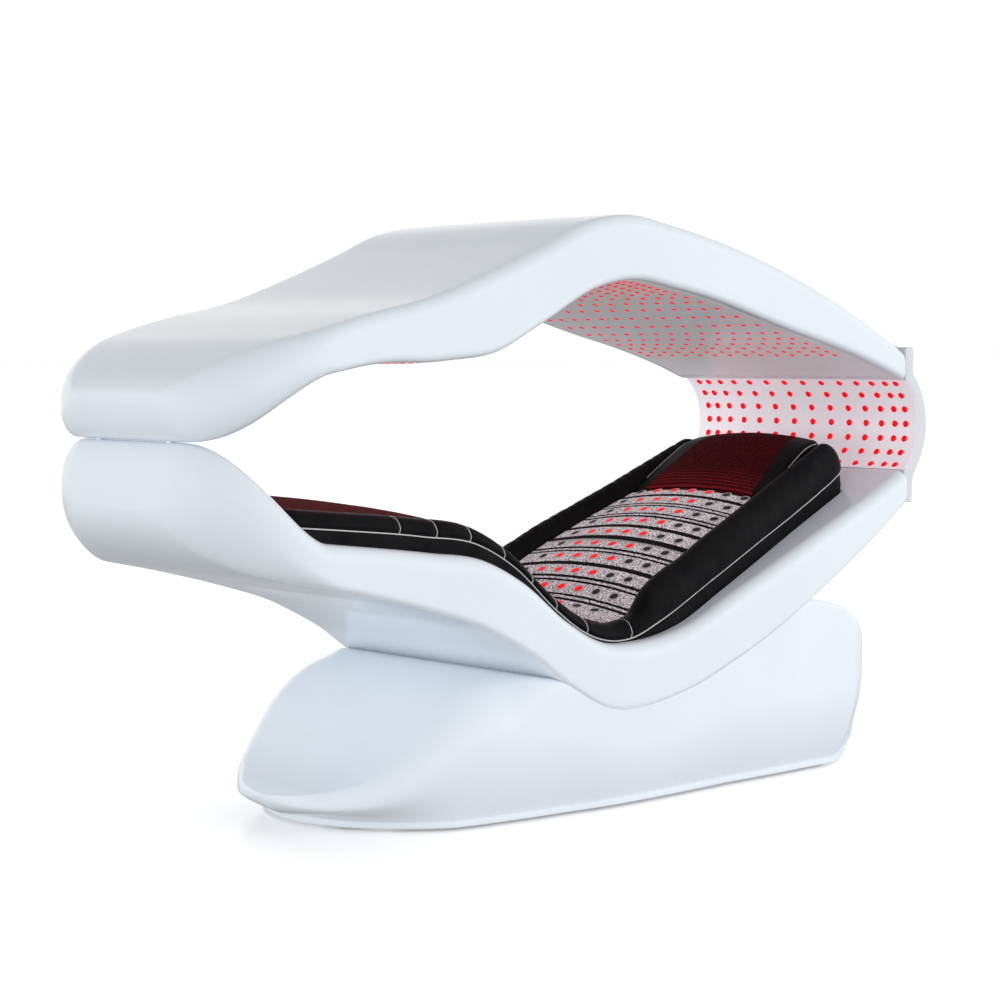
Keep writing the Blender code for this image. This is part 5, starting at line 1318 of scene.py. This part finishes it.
canopy_depth = line([
    (0.0, 0.080), (0.10, 0.094), (0.26, 0.118), (0.42, 0.140), (0.80, 0.148), (1.10, 0.155), (1.30, 0.170),
    (1.42, 0.178), (1.56, 0.147), (1.72, 0.113), (BODY_LENGTH - 0.29, 0.098), (BODY_LENGTH, 0.090)])


def canopy_under(d):
    """Underside of the canopy, which drops to the parting line at the foot end."""
    roof = canopy_crest(d) - canopy_depth(d)
    return roof + (PARTING_Z + PARTING_GAP / 2 - roof) * foot_rise(d)


def rolled(line_z, d, reach):
    """A height that rolls over to the tip of the canopy's foot end within a reach."""
    return CANOPY_TIP_Z + (line_z - CANOPY_TIP_Z) * round_off(d, BODY_LENGTH, reach)


def light_half(d):
    """Half width of the light panel, which stays inside the rounding of the foot end."""
    return np.minimum(WIDTH / 2 - LIP, shell_half(d) - foot_edge(SHELL_LOW_EDGE, d) - SHELL_WALL)


edge_turn = HEAD_GAP - HEAD_BACK + HEAD_EDGE * (1 - np.cos(np.linspace(0, np.pi / 2, 9)))
canopy_d = np.concatenate([
    edge_turn[:-1], stations(edge_turn[-1], BODY_LENGTH - FOOT_SLOPE, STEP)[:-1], foot_stations])
roof_low = rolled(canopy_under(canopy_d), canopy_d, FOOT_ROLL)
roof_high = rolled(canopy_crest(canopy_d), canopy_d, FOOT_SLOPE)
canopy = skin("canopy_moulding", sagged(slab(
    canopy_d, roof_low, roof_high, shell_half(canopy_d), foot_edge(SHELL_LOW_EDGE, canopy_d),
    foot_edge(SHELL_EDGE, canopy_d), CANOPY_CROWN, ends=(HEAD_EDGE, 0.0), across=24),
    canopy_d, roof_low, roof_high, -FOOT_SAG), gloss_white, crease=50)
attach(canopy, "canopy")
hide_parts("canopy_shell")

light_d = stations(LIP, BODY_LENGTH - LIGHT_END, STEP)
light_low = canopy_under(light_d) - LIGHT_PROUD
# The light sheet carries the painted white glow.
light_panel = skin("canopy_light_sheet", slab(
    light_d, light_low, light_low + LIGHT_THICK, light_half(light_d), LIGHT_EDGE, LIGHT_EDGE),
    panel_white, crease=50)
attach(light_panel, "canopy")
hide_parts("canopy_light_panel")

emitter_rows = [EMITTER_FIRST]
while emitter_rows[-1] < BODY_LENGTH - LIGHT_END - EMITTER_MARGIN:
    at = emitter_rows[-1]
    swing = math.cos(2 * math.pi * (min(at, 0.93) - 0.5) / 0.85)
    emitter_rows.append(at + EMITTER_PITCH + EMITTER_SPREAD * swing)
emitter_d, emitter_f = np.meshgrid(
    np.array(emitter_rows[:-1]), np.linspace(-EMITTER_FAN, EMITTER_FAN, EMITTER_COLUMNS), indexing="ij")
emitter_d, emitter_f = emitter_d.ravel(), emitter_f.ravel()
slope = (canopy_under(emitter_d + 0.002) - canopy_under(emitter_d - 0.002)) / 0.004
downward = np.stack([-slope, 0 * slope, -np.ones_like(slope)], -1)
downward = downward / np.linalg.norm(downward, axis=1, keepdims=True)
emitter_seat = np.stack([HEAD_X - emitter_d, EMITTER_FIELD * np.sin(emitter_f) / math.sin(EMITTER_FAN),
                         canopy_under(emitter_d) - LIGHT_PROUD], -1)
emitter_aside = np.broadcast_to((0.0, EMITTER_RADIUS, 0.0), downward.shape)
emitters = domes("canopy_emitters", emitter_seat, downward, emitter_aside, np.cross(downward, emitter_aside),
                 EMITTER_PROUD, red_lens)
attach(emitters, "canopy")
